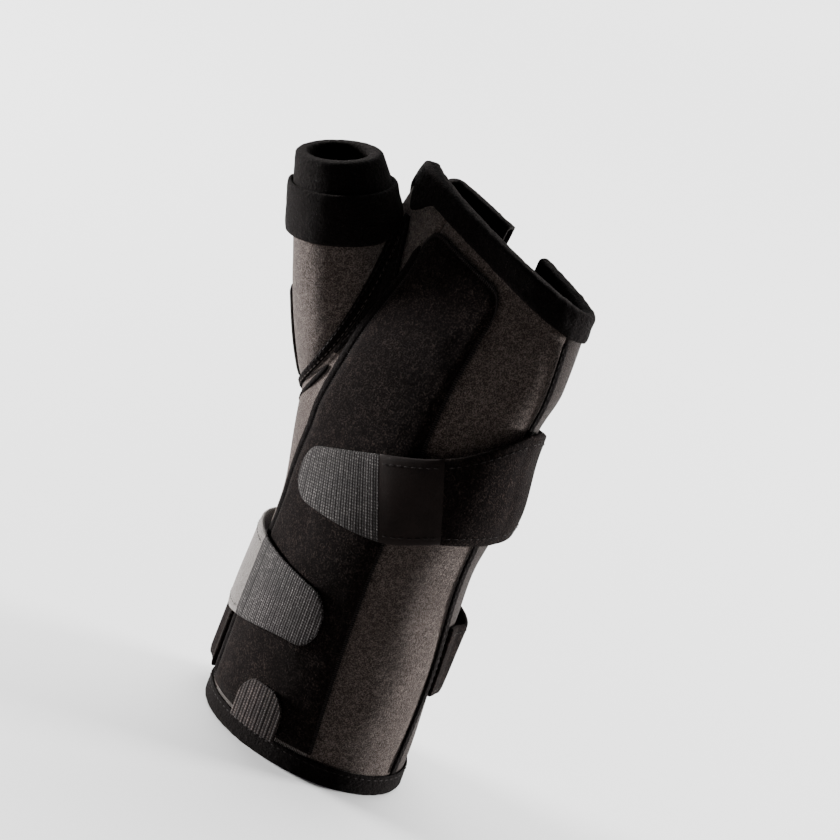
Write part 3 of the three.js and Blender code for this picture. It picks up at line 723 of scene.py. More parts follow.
def overlock(name, path, across, pitch, width, material, lift, radius):
    """Threads side by side across an edge of the sleeve. across is the way over it, in (p, q)."""
    p_line, q_line = path
    along = path_lengths(sleeve(p_line, q_line, lift))
    at = np.arange(pitch, along[-1] - pitch, pitch)
    p, q = np.interp(at, along, p_line), np.interp(at, along, q_line)
    dp, dq = across[0] * width / 2, across[1] * width / 2 + OVERLOCK_SLANT * pitch
    starts, ends = sleeve(p - dp, q - dq, lift), sleeve(p + dp, q + dq, lift)
    up = sleeve(p, q, lift + 1) - sleeve(p, q, lift)
    thread_run(name, starts, ends, up, radius, "sleeve", material)


# ---- Sleeve panels ----


def panel_grid(start, end, columns, rows):
    """Angles and heights of a panel's grid. start and end give its side edges at a height."""
    u, v = unit_grid(columns, rows)
    z = np.full_like(u, HEIGHTS[3])
    for _ in range(4):
        theta = lerp(start(z), end(z), u)
        z = lerp(TAPE + FOLD_MARGIN, finger_edge(theta) - FINGER_TAPE - FOLD_MARGIN, v)
    return theta, z, u


def near_edge(share, width_mm, reach):
    """0 at a side edge, rising to 1 reach millimetres away. share is the place across it."""
    return smoothstep(np.minimum(share, 1 - share) * width_mm, 0, reach)


def under_cover(theta, z):
    """1 where a pocket or its rim lies on the panel, so that the panel must stay where it is."""
    z = np.clip(z, POCKET_HEIGHTS[0], POCKET_HEIGHTS[-1])
    left = spline(POCKET_HEIGHTS, POCKET_LEFT, z) - 3
    right = spline(POCKET_HEIGHTS, POCKET_RIGHT, z) + 3
    palm = smoothstep(theta, left - 3, left) * (1 - smoothstep(theta, right, right + 3))
    back = hump(np.abs(np.mod(theta + 180, 360) - 180), 150, 16) > 0.1
    return np.maximum(palm, back)


def sleeve_panel(name, start, end, columns, rows, width_mm, seed, puff, fabric="body"):
    """A padded panel between two edges. puff is how far its face may be blown out."""
    theta, z, u = panel_grid(start, end, columns, rows)
    outer = sleeve(theta, z, 0.0)
    taped = finger_edge(theta) - POCKET_TOP_GAP
    held = 1 - near_edge(u, width_mm, 2.5)
    held = np.maximum(held, 1 - smoothstep(z, BOTTOM_TAPE_HEIGHT, BOTTOM_TAPE_HEIGHT + 3))
    held = np.maximum(held, smoothstep(z, taped, taped + 3))
    held = np.maximum(held, under_cover(theta, z))
    cap = puff * (1 - held)
    surface = outer + settle(outer, np.clip(held, 0, 1), cap)
    normals = grid_normals(outer)
    surface += normals * (cap * 0.35 * ripple(outer, 21, seed))[..., None]
    surface -= normals * (0.5 * (1 - near_edge(u, width_mm, 2.2)))[..., None]
    inner = sleeve(theta, z, -FABRIC + 0.15 * ripple(outer, 14, seed + 5))
    obj = sheet_piece(name, surface, inner, 0.2, "sleeve_fabric", [fabric, "lining"], inside_slot=True)
    return obj


EDGE = 180 - OPENING - (TAPE + FOLD_MARGIN) / BACK_ARC
sleeve_panel(
    "palmar_panel",
    lambda z: PALM_SEAM + HIDDEN_SEAM_SIDE,
    lambda z: little_finger_seam(z) - SEAM_SIDE,
    columns=52, rows=110, width_mm=72, seed=1, puff=1.5,
)
# The little-finger side panel wears the darkened body fabric: painted shade for the side that the right
# strip light still reaches
sleeve_panel(
    "ulnar_panel",
    lambda z: little_finger_seam(z) + SEAM_SIDE,
    lambda z: EDGE,
    columns=44, rows=100, width_mm=60, seed=2, puff=1.3, fabric="back",
)
radial = sleeve_panel(
    "radial_panel",
    lambda z: -EDGE,
    lambda z: PALM_SEAM - HIDDEN_SEAM_SIDE,
    columns=100, rows=110, width_mm=112, seed=3, puff=1.0,
)


def thumb_cutter():
    """The inside of the thumb tube, a little smaller, which opens the thumb-side panel."""
    along, phi = pairs(np.linspace(8, THUMB_LENGTH, 24), np.arange(0, 360, 6))
    rings = thumb(phi, along, -FABRIC * 0.7)
    return tube_of_section("thumb_cutter", rings, False)


def cut_away(obj, cutter):
    """Takes cutter's space out of obj."""
    bpy.context.view_layer.update()
    boolean = obj.modifiers.new("cut", "BOOLEAN")
    boolean.operation, boolean.object, boolean.solver = "DIFFERENCE", cutter, "EXACT"
    evaluated = obj.evaluated_get(bpy.context.evaluated_depsgraph_get())
    mesh = bpy.data.meshes.new_from_object(evaluated)
    obj.modifiers.clear()
    obj.data = mesh
    bpy.data.objects.remove(cutter)


cut_away(radial, thumb_cutter())


def dorsal_tongue():
    """The padded tongue that lies under the opening at the back."""
    u, v = unit_grid(36, 90)
    rounding = 0.75 + 0.25 * hump(v, 0.5, 0.55)
    theta = 180 + 30 * rounding * (2 * u - 1)
    z = lerp(12, finger_edge(180) - 14, v)
    outer = sleeve(theta, z, -5.0)
    edge = np.minimum(near_edge(u, 40, 4), near_edge(v, 180, 4))
    outer = outer + settle(outer, np.clip(1 - edge, 0, 1), 0.5 * edge, pressure=3)
    inner = sleeve(theta, z, -6.8 + 0.5 * (1 - edge))
    outer -= grid_normals(outer) * (0.5 * (1 - edge))[..., None]
    obj = sheet_piece(
        "dorsal_tongue", outer, inner, 0.4, "lining_fabric", ["body", "lining"], inside_slot=True
    )


dorsal_tongue()


# ---- Thumb tube ----


def thumb_gusset():
    """The tube's fabric, from its seam with the sleeve up to its top."""
    phi, v = pairs(np.arange(0, 360, 4.0), np.linspace(0, 1, 44))
    low_outer = thumb_seam(phi[:, :1], 0.3, 0.3) + 0.25
    low_inner = thumb_seam(phi[:, :1], -FABRIC, 0.3) + 0.25
    top = THUMB_LENGTH - TAPE - FOLD_MARGIN
    along = lerp(low_outer, top, v)
    outer = thumb(phi, along, 0.0)
    held = np.maximum(1 - smoothstep(along - low_outer, 6, 11), smoothstep(along, 90, 94))
    cap = 1.1 * (1 - held) * (1 - hump(np.mod(phi + 180, 360) - 180, 10, 34))
    outer = outer + settle(outer, np.clip(held, 0, 1), cap, looped=True)
    outer = with_bumps(outer, 0.3 * cap, 16, 7, looped=True)
    inner = thumb(phi, lerp(low_inner, top, v), -FABRIC)
    obj = sheet_piece(
        "thumb_gusset", outer, inner, 0.2, "sleeve_fabric", ["body", "lining"],
        looped=True, inside_slot=True,
    )


thumb_gusset()


def thumb_seam_tape():
    """Tape over the gusset's seam, wide at the web, with a row of stitches along each side."""
    phi = np.arange(0, 360, 3.0)
    seam = thumb_seam(phi)
    width = 3 + 5.5 * hump(phi, 175, 110)
    phis, v = pairs(phi, np.linspace(0, 1, 9))
    start, lift = seam + 1.8, CLEAR + 0.15
    along = start[:, None] + width[:, None] * v
    outer = thumb(phis, along, lift + TAPE + 0.25 * hump(v, 0.5, 0.5))
    outer = with_bumps(outer, 0.1, 2.2, 3, looped=True)
    inner = thumb(phis, along, lift)
    sheet_piece("thumb_seam_tape", outer, inner, 0.25, "binding_tape", "tape", looped=True)
    for side, share, thread in (("low", 0.16, "dim_thread"), ("high", 0.84, "black_thread")):
        row = start + width * share
        path = np.append(phi, 360), np.append(row, row[0])
        running_stitch(
            "thumb_seam_stitches_" + side, thumb, path, lift + TAPE + 0.12, 0.22, material=thread
        )


thumb_seam_tape()


def piping(name, theta, z, lift, half_width, half_height, seed):
    """A soft cord sewn down on the sleeve, oval in section and thinner towards its ends."""
    centres = sleeve(theta, z, lift)
    normals = unit(sleeve(theta, z, 2.0) - sleeve(theta, z, 0.0))
    side = unit(np.cross(normals, unit(np.gradient(centres, axis=0))))
    a = np.radians(np.arange(0, 360, 36))[None, :, None]
    steps = np.arange(len(centres))
    taper = np.sqrt(smoothstep(np.minimum(steps, steps[::-1]), -1, 6))[:, None, None]
    rings = centres[:, None] + side[:, None] * (half_width * taper) * np.cos(a)
    rings -= normals[:, None] * (half_height * taper) * np.sin(a)
    rings += 0.09 * ripple(rings, 1.8, seed)[..., None] * normals[:, None]
    place_piece(tube_of_section(name, rings, False), "sleeve", "tape")


def seam_piping():
    """Piping round the foot of the gusset, beside its seam, up to where the web tape starts."""
    phi = np.linspace(-38, 112, 150)
    seam = thumb(phi, thumb_seam(phi), 0.0)
    axis = THUMB_ROOT + ((seam - THUMB_ROOT) @ THUMB_AXIS)[:, None] * THUMB_AXIS
    theta, _ = sleeve_place(seam)
    outward = unit(sleeve(theta, seam[:, 2], 1.0) - sleeve(theta, seam[:, 2], 0.0))
    across = unit(np.cross(np.gradient(seam, axis=0), outward))
    across *= np.sign(np.sum(across * (seam - axis), axis=1, keepdims=True))
    piping("seam_piping", *sleeve_place(seam + 3.3 * across), 0.55, 1.15, 0.85, 61)


seam_piping()

WEB_TAPE_HEIGHTS = [150, 160, 171, 181, 189, 198, 205]
WEB_TAPE_OUTER = [-34, -28, -25, -23.6, -30, -37.5, -44.5]


def web_tape():
    """The tape's other half on the palm, with the same stitching down its outer edge."""
    low, high = WEB_TAPE_HEIGHTS[0], WEB_TAPE_HEIGHTS[-1]
    v, z = pairs(np.linspace(0, 1, 12), np.linspace(low, high, 60))
    gap = 1.9 + 3.6 * smoothstep(z, 172, 204)
    inner_edge = np.maximum(palm_side_of_thumb(z) + gap, -50)
    outer_edge = spline(WEB_TAPE_HEIGHTS, WEB_TAPE_OUTER, z)
    theta = lerp(inner_edge, outer_edge, v)
    outer = sleeve(theta, z, CLEAR + TAPE + 0.3 * hump(v, 0.5, 0.5))
    outer = with_bumps(outer, 0.1, 2.4, 6)
    sheet_piece("web_tape", outer, sleeve(theta, z, CLEAR), 0.3, "binding_tape", "tape")
    heights = np.linspace(low + 2, high - 2, 120)
    path = spline(WEB_TAPE_HEIGHTS, WEB_TAPE_OUTER, heights) - 1.2, heights
    running_stitch("web_tape_stitches", sleeve, path, CLEAR + TAPE + 0.2, 0.22)


web_tape()


# ---- Bindings ----


FOLD_STEPS = 7


def fold_section(outer_leg, inner_leg, thickness):
    """The outline of a folded tape: offset from the fabric's outer face, and from its edge.

    Also gives how many of its points are on the tape's outside. They come first.
    """
    near, far = CLEAR, -FABRIC - CLEAR
    middle, half = (near + far) / 2, (near - far) / 2
    outside = [(near + thickness * 0.75, outer_leg + 0.1), (near + thickness, outer_leg - 0.5)]
    outside += [(near + thickness, d) for d in np.linspace(outer_leg - 2, thickness + 1.2, FOLD_STEPS)]
    wide, deep = half + thickness, 1.2 + thickness
    for a in np.linspace(75, -75, 9):
        s, c = math.sin(math.radians(a)), math.cos(math.radians(a))
        outside.append((middle + wide * np.sign(s) * abs(s) ** 0.55, deep - deep * abs(c) ** 0.55))
    outside += [(far - thickness, d) for d in np.linspace(thickness + 1.2, inner_leg - 1, FOLD_STEPS)]
    outside.append((far - thickness * 0.75, inner_leg))
    inside = [(far - 0.02, inner_leg - 0.1), (far - 0.02, thickness + 0.5)]
    inside += [(middle, thickness), (near + 0.02, thickness + 0.5), (near + 0.02, outer_leg - 0.1)]
    return np.array(outside + inside), len(outside)


def fuzz(sections, amount, scale, seed, limit=None):
    """Pushes the outside of a binding in and out a little, as terry does."""
    around = np.roll(sections, -1, 1) - np.roll(sections, 1, 1)
    n = unit(np.cross(np.gradient(sections, axis=0), around))
    coarse, fine = ripple(sections, scale, seed), ripple(sections, scale / 2.3, seed)
    out = sections + n * (amount * (0.65 * coarse + 0.35 * fine))[..., None]
    if limit is not None:
        out[..., 2] = np.maximum(out[..., 2], limit)
    return out


def binding(name, sections, looped=False, material="terry"):
    obj = tube_of_section(name, sections, looped)
    place_piece(obj, "sleeve", material, [name])


def bottom_binding():
    """The fold round the forearm hem, level underneath so that the splint stands on it."""
    outline, outside = fold_section(BOTTOM_TAPE_HEIGHT, 8, TAPE)
    end = 180 - OPENING
    theta = np.linspace(-end, end, 230)[:, None]
    sections = sleeve(theta, outline[None, :, 1], outline[None, :, 0])
    sections[:, :outside] = fuzz(sections[:, :outside], 0.22, 2.2, 11, 0.0)
    binding("bottom_binding", sections)
    path = np.linspace(-end + 2, end - 2, 300), np.full(300, BOTTOM_TAPE_HEIGHT - 1.5)
    running_stitch("bottom_binding_stitches", sleeve, path, CLEAR + TAPE + 0.05, pitch=2.8)


def palm_binding():
    """The fold round the edge at the fingers, widest at the root of the index finger."""
    end = 180 - OPENING
    theta = np.linspace(-end, end, 260)
    sections = []
    for t in theta:
        inner_leg = 8 - 2.8 * float(hump(t, -98, 40))
        outline, outside = fold_section(float(finger_tape_height(t)), inner_leg, FINGER_TAPE)
        sections.append(sleeve(t, finger_edge(t) - outline[:, 1], outline[:, 0])[::-1])
    sections = np.array(sections)
    sections[:, -outside:] = fuzz(sections[:, -outside:], 0.4, 2.6, 12)
    binding("palm_binding", sections)


def thumb_top_binding():
    """The fold over the tube's top. Its outer leg runs down under the thumb strap's edge."""
    outline = fold_section(12.2, 8, TAPE)[0][::-1]
    phi = np.arange(0, 360, 3.0)[:, None]
    sections = thumb(phi, THUMB_LENGTH - outline[None, :, 1], outline[None, :, 0])
    binding("thumb_top_binding", fuzz(sections, 0.15, 2.2, 13), looped=True)


def opening_binding(side, name):
    """The fold down one edge of the opening: side is 1 at the little finger, -1 at the thumb."""
    outline = fold_section(5, 5, TAPE)[0][::side]
    theta = side * (180 - OPENING - outline[:, 1] / BACK_ARC)
    v = np.linspace(0, 1, 120)[:, None]
    low = BOTTOM_TAPE_HEIGHT + TAPE_END_GAP
    top = finger_edge(theta) - FINGER_TAPE_HEIGHT - TAPE_END_GAP
    sections = sleeve(theta[None], lerp(low, top[None], v), outline[None, :, 0])
    binding(name, fuzz(sections, 0.1, 2.2, 14), material="tape")
    heights = np.linspace(low + 1, float(top.min()) - 1, 200)
    path = np.full(200, side * (180 - OPENING - 3.9 / BACK_ARC)), heights
    running_stitch(name + "_stitches", sleeve, path, CLEAR + TAPE + 0.05, pitch=2.8)


bottom_binding()
palm_binding()
thumb_top_binding()
opening_binding(1, "opening_binding_ulnar")
opening_binding(-1, "opening_binding_radial")


def ulnar_seam_tape():
    """Tape down the little-finger seam, stitched along both sides."""
    low = BOTTOM_TAPE_HEIGHT + TAPE_END_GAP
    high = float(finger_edge(little_finger_seam(190))) - FINGER_TAPE_HEIGHT - 2.6
    u, z = pairs(np.linspace(-1, 1, 9), np.linspace(low, high, 150))
    theta = little_finger_seam(z) + 2.1 * u
    crown = 0.2 * (1 - u * u)
    bumps = 0.06 * ripple(sleeve(theta, z, 0), 2.4, 4)
    outer = sleeve(theta, z, CLEAR + TAPE + crown + bumps)
    inner = sleeve(theta, z, CLEAR)
    sheet_piece("ulnar_seam_tape", outer, inner, 0.25, "binding_tape", "tape")
    heights = np.linspace(low + 1, high - 1, 200)
    for side, away in (("palm", -1.35), ("back", 1.35)):
        path = little_finger_seam(heights) + away, heights
        running_stitch(
            "ulnar_seam_stitches_" + side, sleeve, path, CLEAR + TAPE + 0.1, 0.18, pitch=2.8
        )


ulnar_seam_tape()


# ---- Pockets ----


def pocket_top(u):
    """The height of the palm-side pocket's upper edge, u across it from 0 to 1."""
    from_corner = np.clip(np.minimum(u, 1 - u) / POCKET_CORNER, 0, 1)
    rounding = CORNER_DROP * (1 - np.sqrt(1 - (1 - from_corner) ** 2))
    return finger_edge(lerp(POCKET_LEFT[-1], POCKET_RIGHT[-1], u)) - POCKET_TOP_GAP - rounding


def pocket_angle(u, z):
    left, right = spline(POCKET_HEIGHTS, POCKET_LEFT, z), spline(POCKET_HEIGHTS, POCKET_RIGHT, z)
    return lerp(left, right, u)


POCKET_BOTTOM = POCKET_HEIGHTS[0] + 1.2
POCKET_RIM = 0.75
POCKET_WIDTH, POCKET_LENGTH = 52, 190


def palmar_pocket():
    """The loop-faced pocket down the palm, sewn round its rim over the stay."""
    u, v = unit_grid(62, 150)
    z = lerp(POCKET_BOTTOM, pocket_top(u), v)
    theta = pocket_angle(u, z)
    across, up = np.minimum(u, 1 - u) * POCKET_WIDTH, np.minimum(v, 1 - v) * POCKET_LENGTH
    rise = np.sqrt(smoothstep(across, 0.4, 5.5) * smoothstep(up, 0.4, 5.5))
    outer = sleeve(theta, z, lerp(CLEAR + POCKET_RIM, 2.55, rise))
    held = np.clip(1 - rise, 0, 1)
    outer = outer + settle(outer, held, 0.4 * rise, pressure=3, grow=0.015)
    outer = with_bumps(outer, 0.14 * rise, 18, 21)
    inner_rise = np.sqrt(smoothstep(across, 1, 6) * smoothstep(up, 1, 6))
    inner = sleeve(theta, z, lerp(CLEAR, 1.9, inner_rise))
    obj = sheet_piece("palmar_pocket", outer, inner, 0.3, "loop_fabric", "loop")


def pocket_edging():
    """Piping down the pocket's thumb side, and overlocking along its sides and top."""
    heights = np.linspace(POCKET_BOTTOM, float(finger_edge(POCKET_LEFT[-1])) - 22, 260)
    theta = pocket_angle(0, heights) - 1.7
    piping("pocket_edge_piping", theta, heights, CLEAR + POCKET_RIM, 1.8, 0.95, 62)
    look = {"pitch": 0.85, "width": 1.7, "material": "black_thread", "lift": CLEAR + 0.85, "radius": 0.27}
    for side, share, toward in (("thumb_side", 0, 1), ("finger_side", 1, -1)):
        corner = (POCKET_LEFT, POCKET_RIGHT)[share][-1]
        high = float(finger_edge(corner)) - POCKET_TOP_GAP - CORNER_DROP
        heights = np.linspace(POCKET_BOTTOM, high, 240)
        path = pocket_angle(share, heights) + toward * 0.4, heights
        overlock("pocket_overlock_" + side, path, (1 / 0.75, 0), **look)
    u = np.linspace(0, 1, 160)
    z = pocket_top(u)
    overlock("pocket_overlock_top", (pocket_angle(u, z), z - 0.4), (0, 1), **look)


palmar_pocket()
pocket_edging()


def stay_pocket(name, put, across_mm, along_mm, outer_offset):
    """A narrow pocket for a straight stay. put(u, v, offset) is a point of the surface under it."""
    u, v = unit_grid(22, max(30, int(along_mm / 2)))
    rise = np.sqrt(
        smoothstep(np.minimum(u, 1 - u) * across_mm, 0.3, 2.2)
        * smoothstep(np.minimum(v, 1 - v) * along_mm, 0.3, 3)
    )
    outer = put(u, v, lerp(CLEAR + 0.7, outer_offset, rise))
    inner = put(u, v, lerp(CLEAR, outer_offset - 1, rise))
    outer = with_bumps(outer, 0.1 * rise, 9, 31)
    obj = sheet_piece(name, outer, inner, 0.25, "loop_fabric", "loop")
    for side, share in (("a", 0.05), ("b", 0.95)):
        path = np.full(60, share), np.linspace(0.02, 0.98, 60)
        running_stitch(name + "_stitches_" + side, put, path, CLEAR + 0.95, 0.16)


for side, name in ((1, "ulnar"), (-1, "radial")):
    stay_pocket(
        "dorsal_stay_pocket_" + name,
        lambda u, v, o, side=side: sleeve(side * 150 + 7 * (2 * u - 1), lerp(24, 186, v), o),
        across_mm=10.5,
        along_mm=162,
        outer_offset=2.75,
    )
stay_pocket(
    "thumb_stay_pocket",
    lambda u, v, o: thumb(10 + 20 * (2 * u - 1), lerp(32, 69, v), o),
    across_mm=11.5,
    along_mm=37,
    outer_offset=2.1,
)


# ---- Straps ----

# Each strap's edges and slant at some angles. Its marks are where its lengths start and stop, from
# the free tip to the end that is sewn down.
WRIST = {
    "marks": {"tip": -27, "hook": 18.5, "smooth": 46, "hinge": 82, "end": 238},
    "at": [-27, 18.5, 46, 82, 117, 150, 180, 238],
    "low": [99, 100.5, 107.5, 111, 113, 111, 109, 107],
    "high": [117, 129, 137.5, 154.5, 150.5, 146, 144, 141],
    "lean": [0, -15, -16, -10, -3, 0, 0, 0],
}
MIDDLE = {
    "marks": {"end": 96.5, "hinge": 268, "hook": 320, "tip": 374},
    "at": [90, 113, 180, 230, 268, 298, 320, 354, 374],
    "low": [43, 41, 40, 40, 41, 40, 42.5, 48.5, 50],
    "high": [71, 70, 70, 73, 76, 77, 76, 73.5, 71],
    "lean": [0] * 9,
}
LOWER = {
    "marks": {"tip": 142, "hook": 172, "hinge": 255, "end": 294},
    "at": [142, 172, 204, 255, 294],
    "low": [13.5, 12, 10.8, 10.2, 10.2],
    "high": [31.5, 33.5, 35, 36, 34.5],
    "lean": [0] * 5,
}


def wrist_bulge(theta, across):
    """The wrist strap stands off the sleeve at the little-finger side, most at its lower edge."""
    return hump(theta, 108, 44) * lerp(0.8, -1.9, across)


def middle_bulge(theta, across):
    """The middle strap's lower edge lies closer to the sleeve just after its sewn start."""
    start = smoothstep(theta, 106, 117) * (1 - smoothstep(theta, 122, 140))
    return -2 * (1 - across) * start


def lower_bulge(theta, across):
    """The lower strap stands off the sleeve at the thumb side."""
    return 3.2 * hump(theta, 266, 34)


def no_bulge(theta, across):
    return 0.0


# In degrees round the sleeve:
JOIN = 0.02  # half the gap between two lengths of one strap
END_COLUMN = 0.15  # a grid line close to each end keeps the shading even up to a join
THIN_REACH, TAB_REACH = 6, 8  # how far from a join a strap is thinner, and a hook tab thicker
TIP = 9  # how far a rounded tip reaches
SEWN_REACH = (9, 19)  # from the sewn end, where the strap starts to lift off, and has done so
STITCH_INSET = 1.5  # from each end of a length to its stitching
FAR = 99  # stands for the distance to an end that a length doesn't have

MM_PER_DEGREE = 0.68  # along a strap, near enough for its number of grid lines
JOIN_THINNING = 0.2  # how many mm thinner a strap is at a join, so that the lengths turn freely
STRAP_WIDTH, THUMB_STRAP_WIDTH = 26, 17
SELVEDGE = 0.085  # share of the width at which each edge is stitched


def from_ends(kind, start, end, ends, u):
    """How far u is from the nearest end of one kind: "tip", "join" or "sewn"."""
    gaps = [np.full_like(u, FAR)] + [u - start] * (ends[0] == kind) + [end - u] * (ends[1] == kind)
    return np.minimum.reduce(gaps)


def strap_point(strap, start, end, ends, bulge, u, v, height):
    """A point of a strap at angle u and v across it, from 0 to 1, height over its inner face."""
    tuck = 1 - np.clip(from_ends("tip", start, end, ends, u) / TIP, 0, 1)
    across = 0.5 + (v - 0.5) * np.sqrt(1 - 0.88 * tuck**2.1)
    lift = lerp(CLEAR, STRAP_LIFT, smoothstep(from_ends("sewn", start, end, ends, u), *SEWN_REACH))
    theta = u + spline(strap["at"], strap["lean"], u) * (across - 0.5)
    z = lerp(spline(strap["at"], strap["low"], u), spline(strap["at"], strap["high"], u), across)
    return sleeve(theta, z, lift + bulge(u, across) + height)


def strap_columns(start, end, ends, ribs):
    """The angles of a strap's grid lines: closer in a rounded tip, and one beside each end."""
    step = RIB_PITCH / 5 if ribs else 1.6
    us = np.linspace(start, end, max(int(abs(end - start) * MM_PER_DEGREE / step), 8))
    beside_ends = np.array([start + END_COLUMN, end - END_COLUMN])
    fine = []
    if "tip" in ends:
        tip, other = (start, end) if ends[0] == "tip" else (end, start)
        fine = tip + (other - tip) * np.array([0.002, 0.006, 0.013, 0.022, 0.034])
    return np.unique(np.concatenate([us, fine, beside_ends]))


def strap_piece(name, strap, start, end, ends, thickness, bulge, body, slot, material):
    """One length of a strap: a ribbed hook tab, or loop fabric stitched along both edges."""
    ribs = slot == "woven_hook_tab"
    us, rows = strap_columns(start, end, ends, ribs), 24
    u, v = pairs(us, np.linspace(0, 1, rows))

    def put(p, q, height):
        return strap_point(strap, start, end, ends, bulge, p, q, height)

    from_join = from_ends("join", start, end, ends, u)
    if ribs:
        thickness = lerp(STRAP, thickness, smoothstep(from_join, 0, TAB_REACH))
    off_join = smoothstep(from_join, 0, THIN_REACH)
    wave = (0.12 + 0.22 * ripple(put(u, v, thickness), 24, 40)) * off_join
    edge = near_edge(v, STRAP_WIDTH, 2)
    outer = put(u, v, thickness * (0.86 + 0.14 * edge) + wave - JOIN_THINNING * (1 - off_join))
    if ribs:
        outer = with_ribs(outer, arc_lengths(outer)[0][:, rows // 2][:, None])
    inner = put(u, v, np.clip(wave, 0, None) + 0.02)
    flat_ends = ends[0] == "join", ends[1] == "join"
    obj = sheet_piece(name, outer, inner, 0.35, slot, material, body, flat_ends=flat_ends)
    if ribs:
        level_cloth(obj, columns=len(us), rows=rows)
        return
    for side, share in (("low", SELVEDGE), ("high", 1 - SELVEDGE)):
        path = np.linspace(start + STITCH_INSET, end - STITCH_INSET, 120), np.full(120, share)
        running_stitch(
            name + "_stitches_" + side, put, path, thickness + 0.22, 0.17, pitch=2.7, body=body
        )


def with_ribs(outer, along):
    """Raises the ribs of a woven tab. along is the distance that they are spaced over."""
    rib = 0.05 * np.cos(2 * np.pi * along / RIB_PITCH)
    return outer + grid_normals(outer) * rib[..., None]


def read_cloth(obj):
    data = obj.data.attributes["cloth"].data
    values = np.zeros(len(data) * 3, np.float32)
    data.foreach_get("vector", values)
    return values.reshape(-1, 3)


def write_cloth(obj, values):
    obj.data.attributes["cloth"].data.foreach_set("vector", values.ravel())


def level_cloth(obj, columns, rows):
    """Makes the weave run straight: each row's place along the strap is that of the middle one."""
    values = read_cloth(obj)
    grid = values[: columns * rows].reshape(columns, rows, 3)
    along = grid[:, rows // 2, 0].copy()
    old = grid[:, :, 0].copy()
    across = grid[:, :, 1] - grid[:, :, 1].mean(axis=1, keepdims=True)
    for k in (0, 1):
        block = values[k * columns * rows : (k + 1) * columns * rows].reshape(columns, rows, 3)
        block[:, :, 0] = along[:, None]
        block[:, :, 1] = across
    rest = values[2 * columns * rows :]
    where = np.unique(np.round(old[:, 0], 3), return_index=True)[1]
    rest[:, 0] = np.interp(rest[:, 0], old[where, 0], along[where])
    write_cloth(obj, values)


# A length's thickness, record slot and material.
WOVEN = (HOOK_TAB, "woven_hook_tab", "tab")
LOOPS = (STRAP, "loop_fabric", "strap")
BRUSHED = (STRAP, "loop_fabric", "brushed")
SMOOTH = (STRAP, "smooth_webbing", "smooth")

for name, strap, first, last, (thickness, slot, material), bulge, body in (
    ("wrist_hook_tab", WRIST, "tip", "hook", WOVEN, no_bulge, "wrist_tab"),
    ("wrist_strap_smooth_section", WRIST, "hook", "smooth", SMOOTH, no_bulge, "wrist_strap_swinging"),
    ("wrist_strap_end", WRIST, "smooth", "hinge", LOOPS, wrist_bulge, "wrist_strap_swinging"),
    ("wrist_strap", WRIST, "hinge", "end", LOOPS, wrist_bulge, "sleeve"),
    ("middle_strap", MIDDLE, "end", "hinge", LOOPS, middle_bulge, "sleeve"),
    ("middle_strap_end", MIDDLE, "hinge", "hook", BRUSHED, no_bulge, "middle_strap_swinging"),
    ("middle_hook_tab", MIDDLE, "hook", "tip", WOVEN, no_bulge, "middle_tab"),
    ("lower_hook_tab", LOWER, "tip", "hook", WOVEN, no_bulge, "lower_tab"),
    ("lower_strap_end", LOWER, "hook", "hinge", LOOPS, lower_bulge, "lower_strap_swinging"),
    ("lower_strap", LOWER, "hinge", "end", LOOPS, lower_bulge, "sleeve"),
):
    ends = tuple({"tip": "tip", "end": "sewn"}.get(mark, "join") for mark in (first, last))
    start = strap["marks"][first] + (JOIN if ends[0] == "join" else 0)
    end = strap["marks"][last] - (JOIN if ends[1] == "join" else 0)
    strap_piece(name, strap, start, end, ends, thickness, bulge, body, slot, material)

THUMB_STRAP_LOW, THUMB_STRAP_HIGH, THUMB_STRAP_LIFT = 93, 111, 1.5
THUMB_STRAP_TIP, THUMB_STRAP_JOIN, THUMB_STRAP_END = -58, 20, 282
THUMB_STRAP_GAP = 0.3  # half the gap at the join, in degrees


def thumb_strap_piece(name, start, end, thickness, rounded, body):
    """One length of the narrow strap round the top of the thumb tube."""
    us = np.linspace(start, end, int((end - start) * 0.34 / 1.4))
    u, v = pairs(us, np.linspace(0, 1, 18))
    tuck = 1 - np.clip((u - start) / 24, 0, 1) if rounded else 0 * u
    across = 0.5 + (v - 0.5) * np.sqrt(1 - 0.84 * tuck * tuck)
    low_edge = THUMB_STRAP_LOW + 12 * hump(u, WEB_SIDE, 75)
    sewn = np.where(u > 100, smoothstep(THUMB_STRAP_END - u, 12, 26), 1)
    lift = lerp(CLEAR, THUMB_STRAP_LIFT, sewn)
    along = lerp(low_edge, THUMB_STRAP_HIGH, across)
    edge = near_edge(v, THUMB_STRAP_WIDTH, 1.8)
    outer = thumb(u, along, lift + thickness * (0.85 + 0.15 * edge))
    outer = with_bumps(outer, 0.16, 2.6, 51)
    sheet_piece(name, outer, thumb(u, along, lift), 0.35, "loop_fabric", "terry", body)


tab_end, strap_start = THUMB_STRAP_JOIN - THUMB_STRAP_GAP, THUMB_STRAP_JOIN + THUMB_STRAP_GAP
thumb_strap_piece("thumb_hook_tab", THUMB_STRAP_TIP, tab_end, HOOK_TAB, True, "thumb_tab")
thumb_strap_piece("thumb_strap", strap_start, THUMB_STRAP_END, STRAP, False, "sleeve")


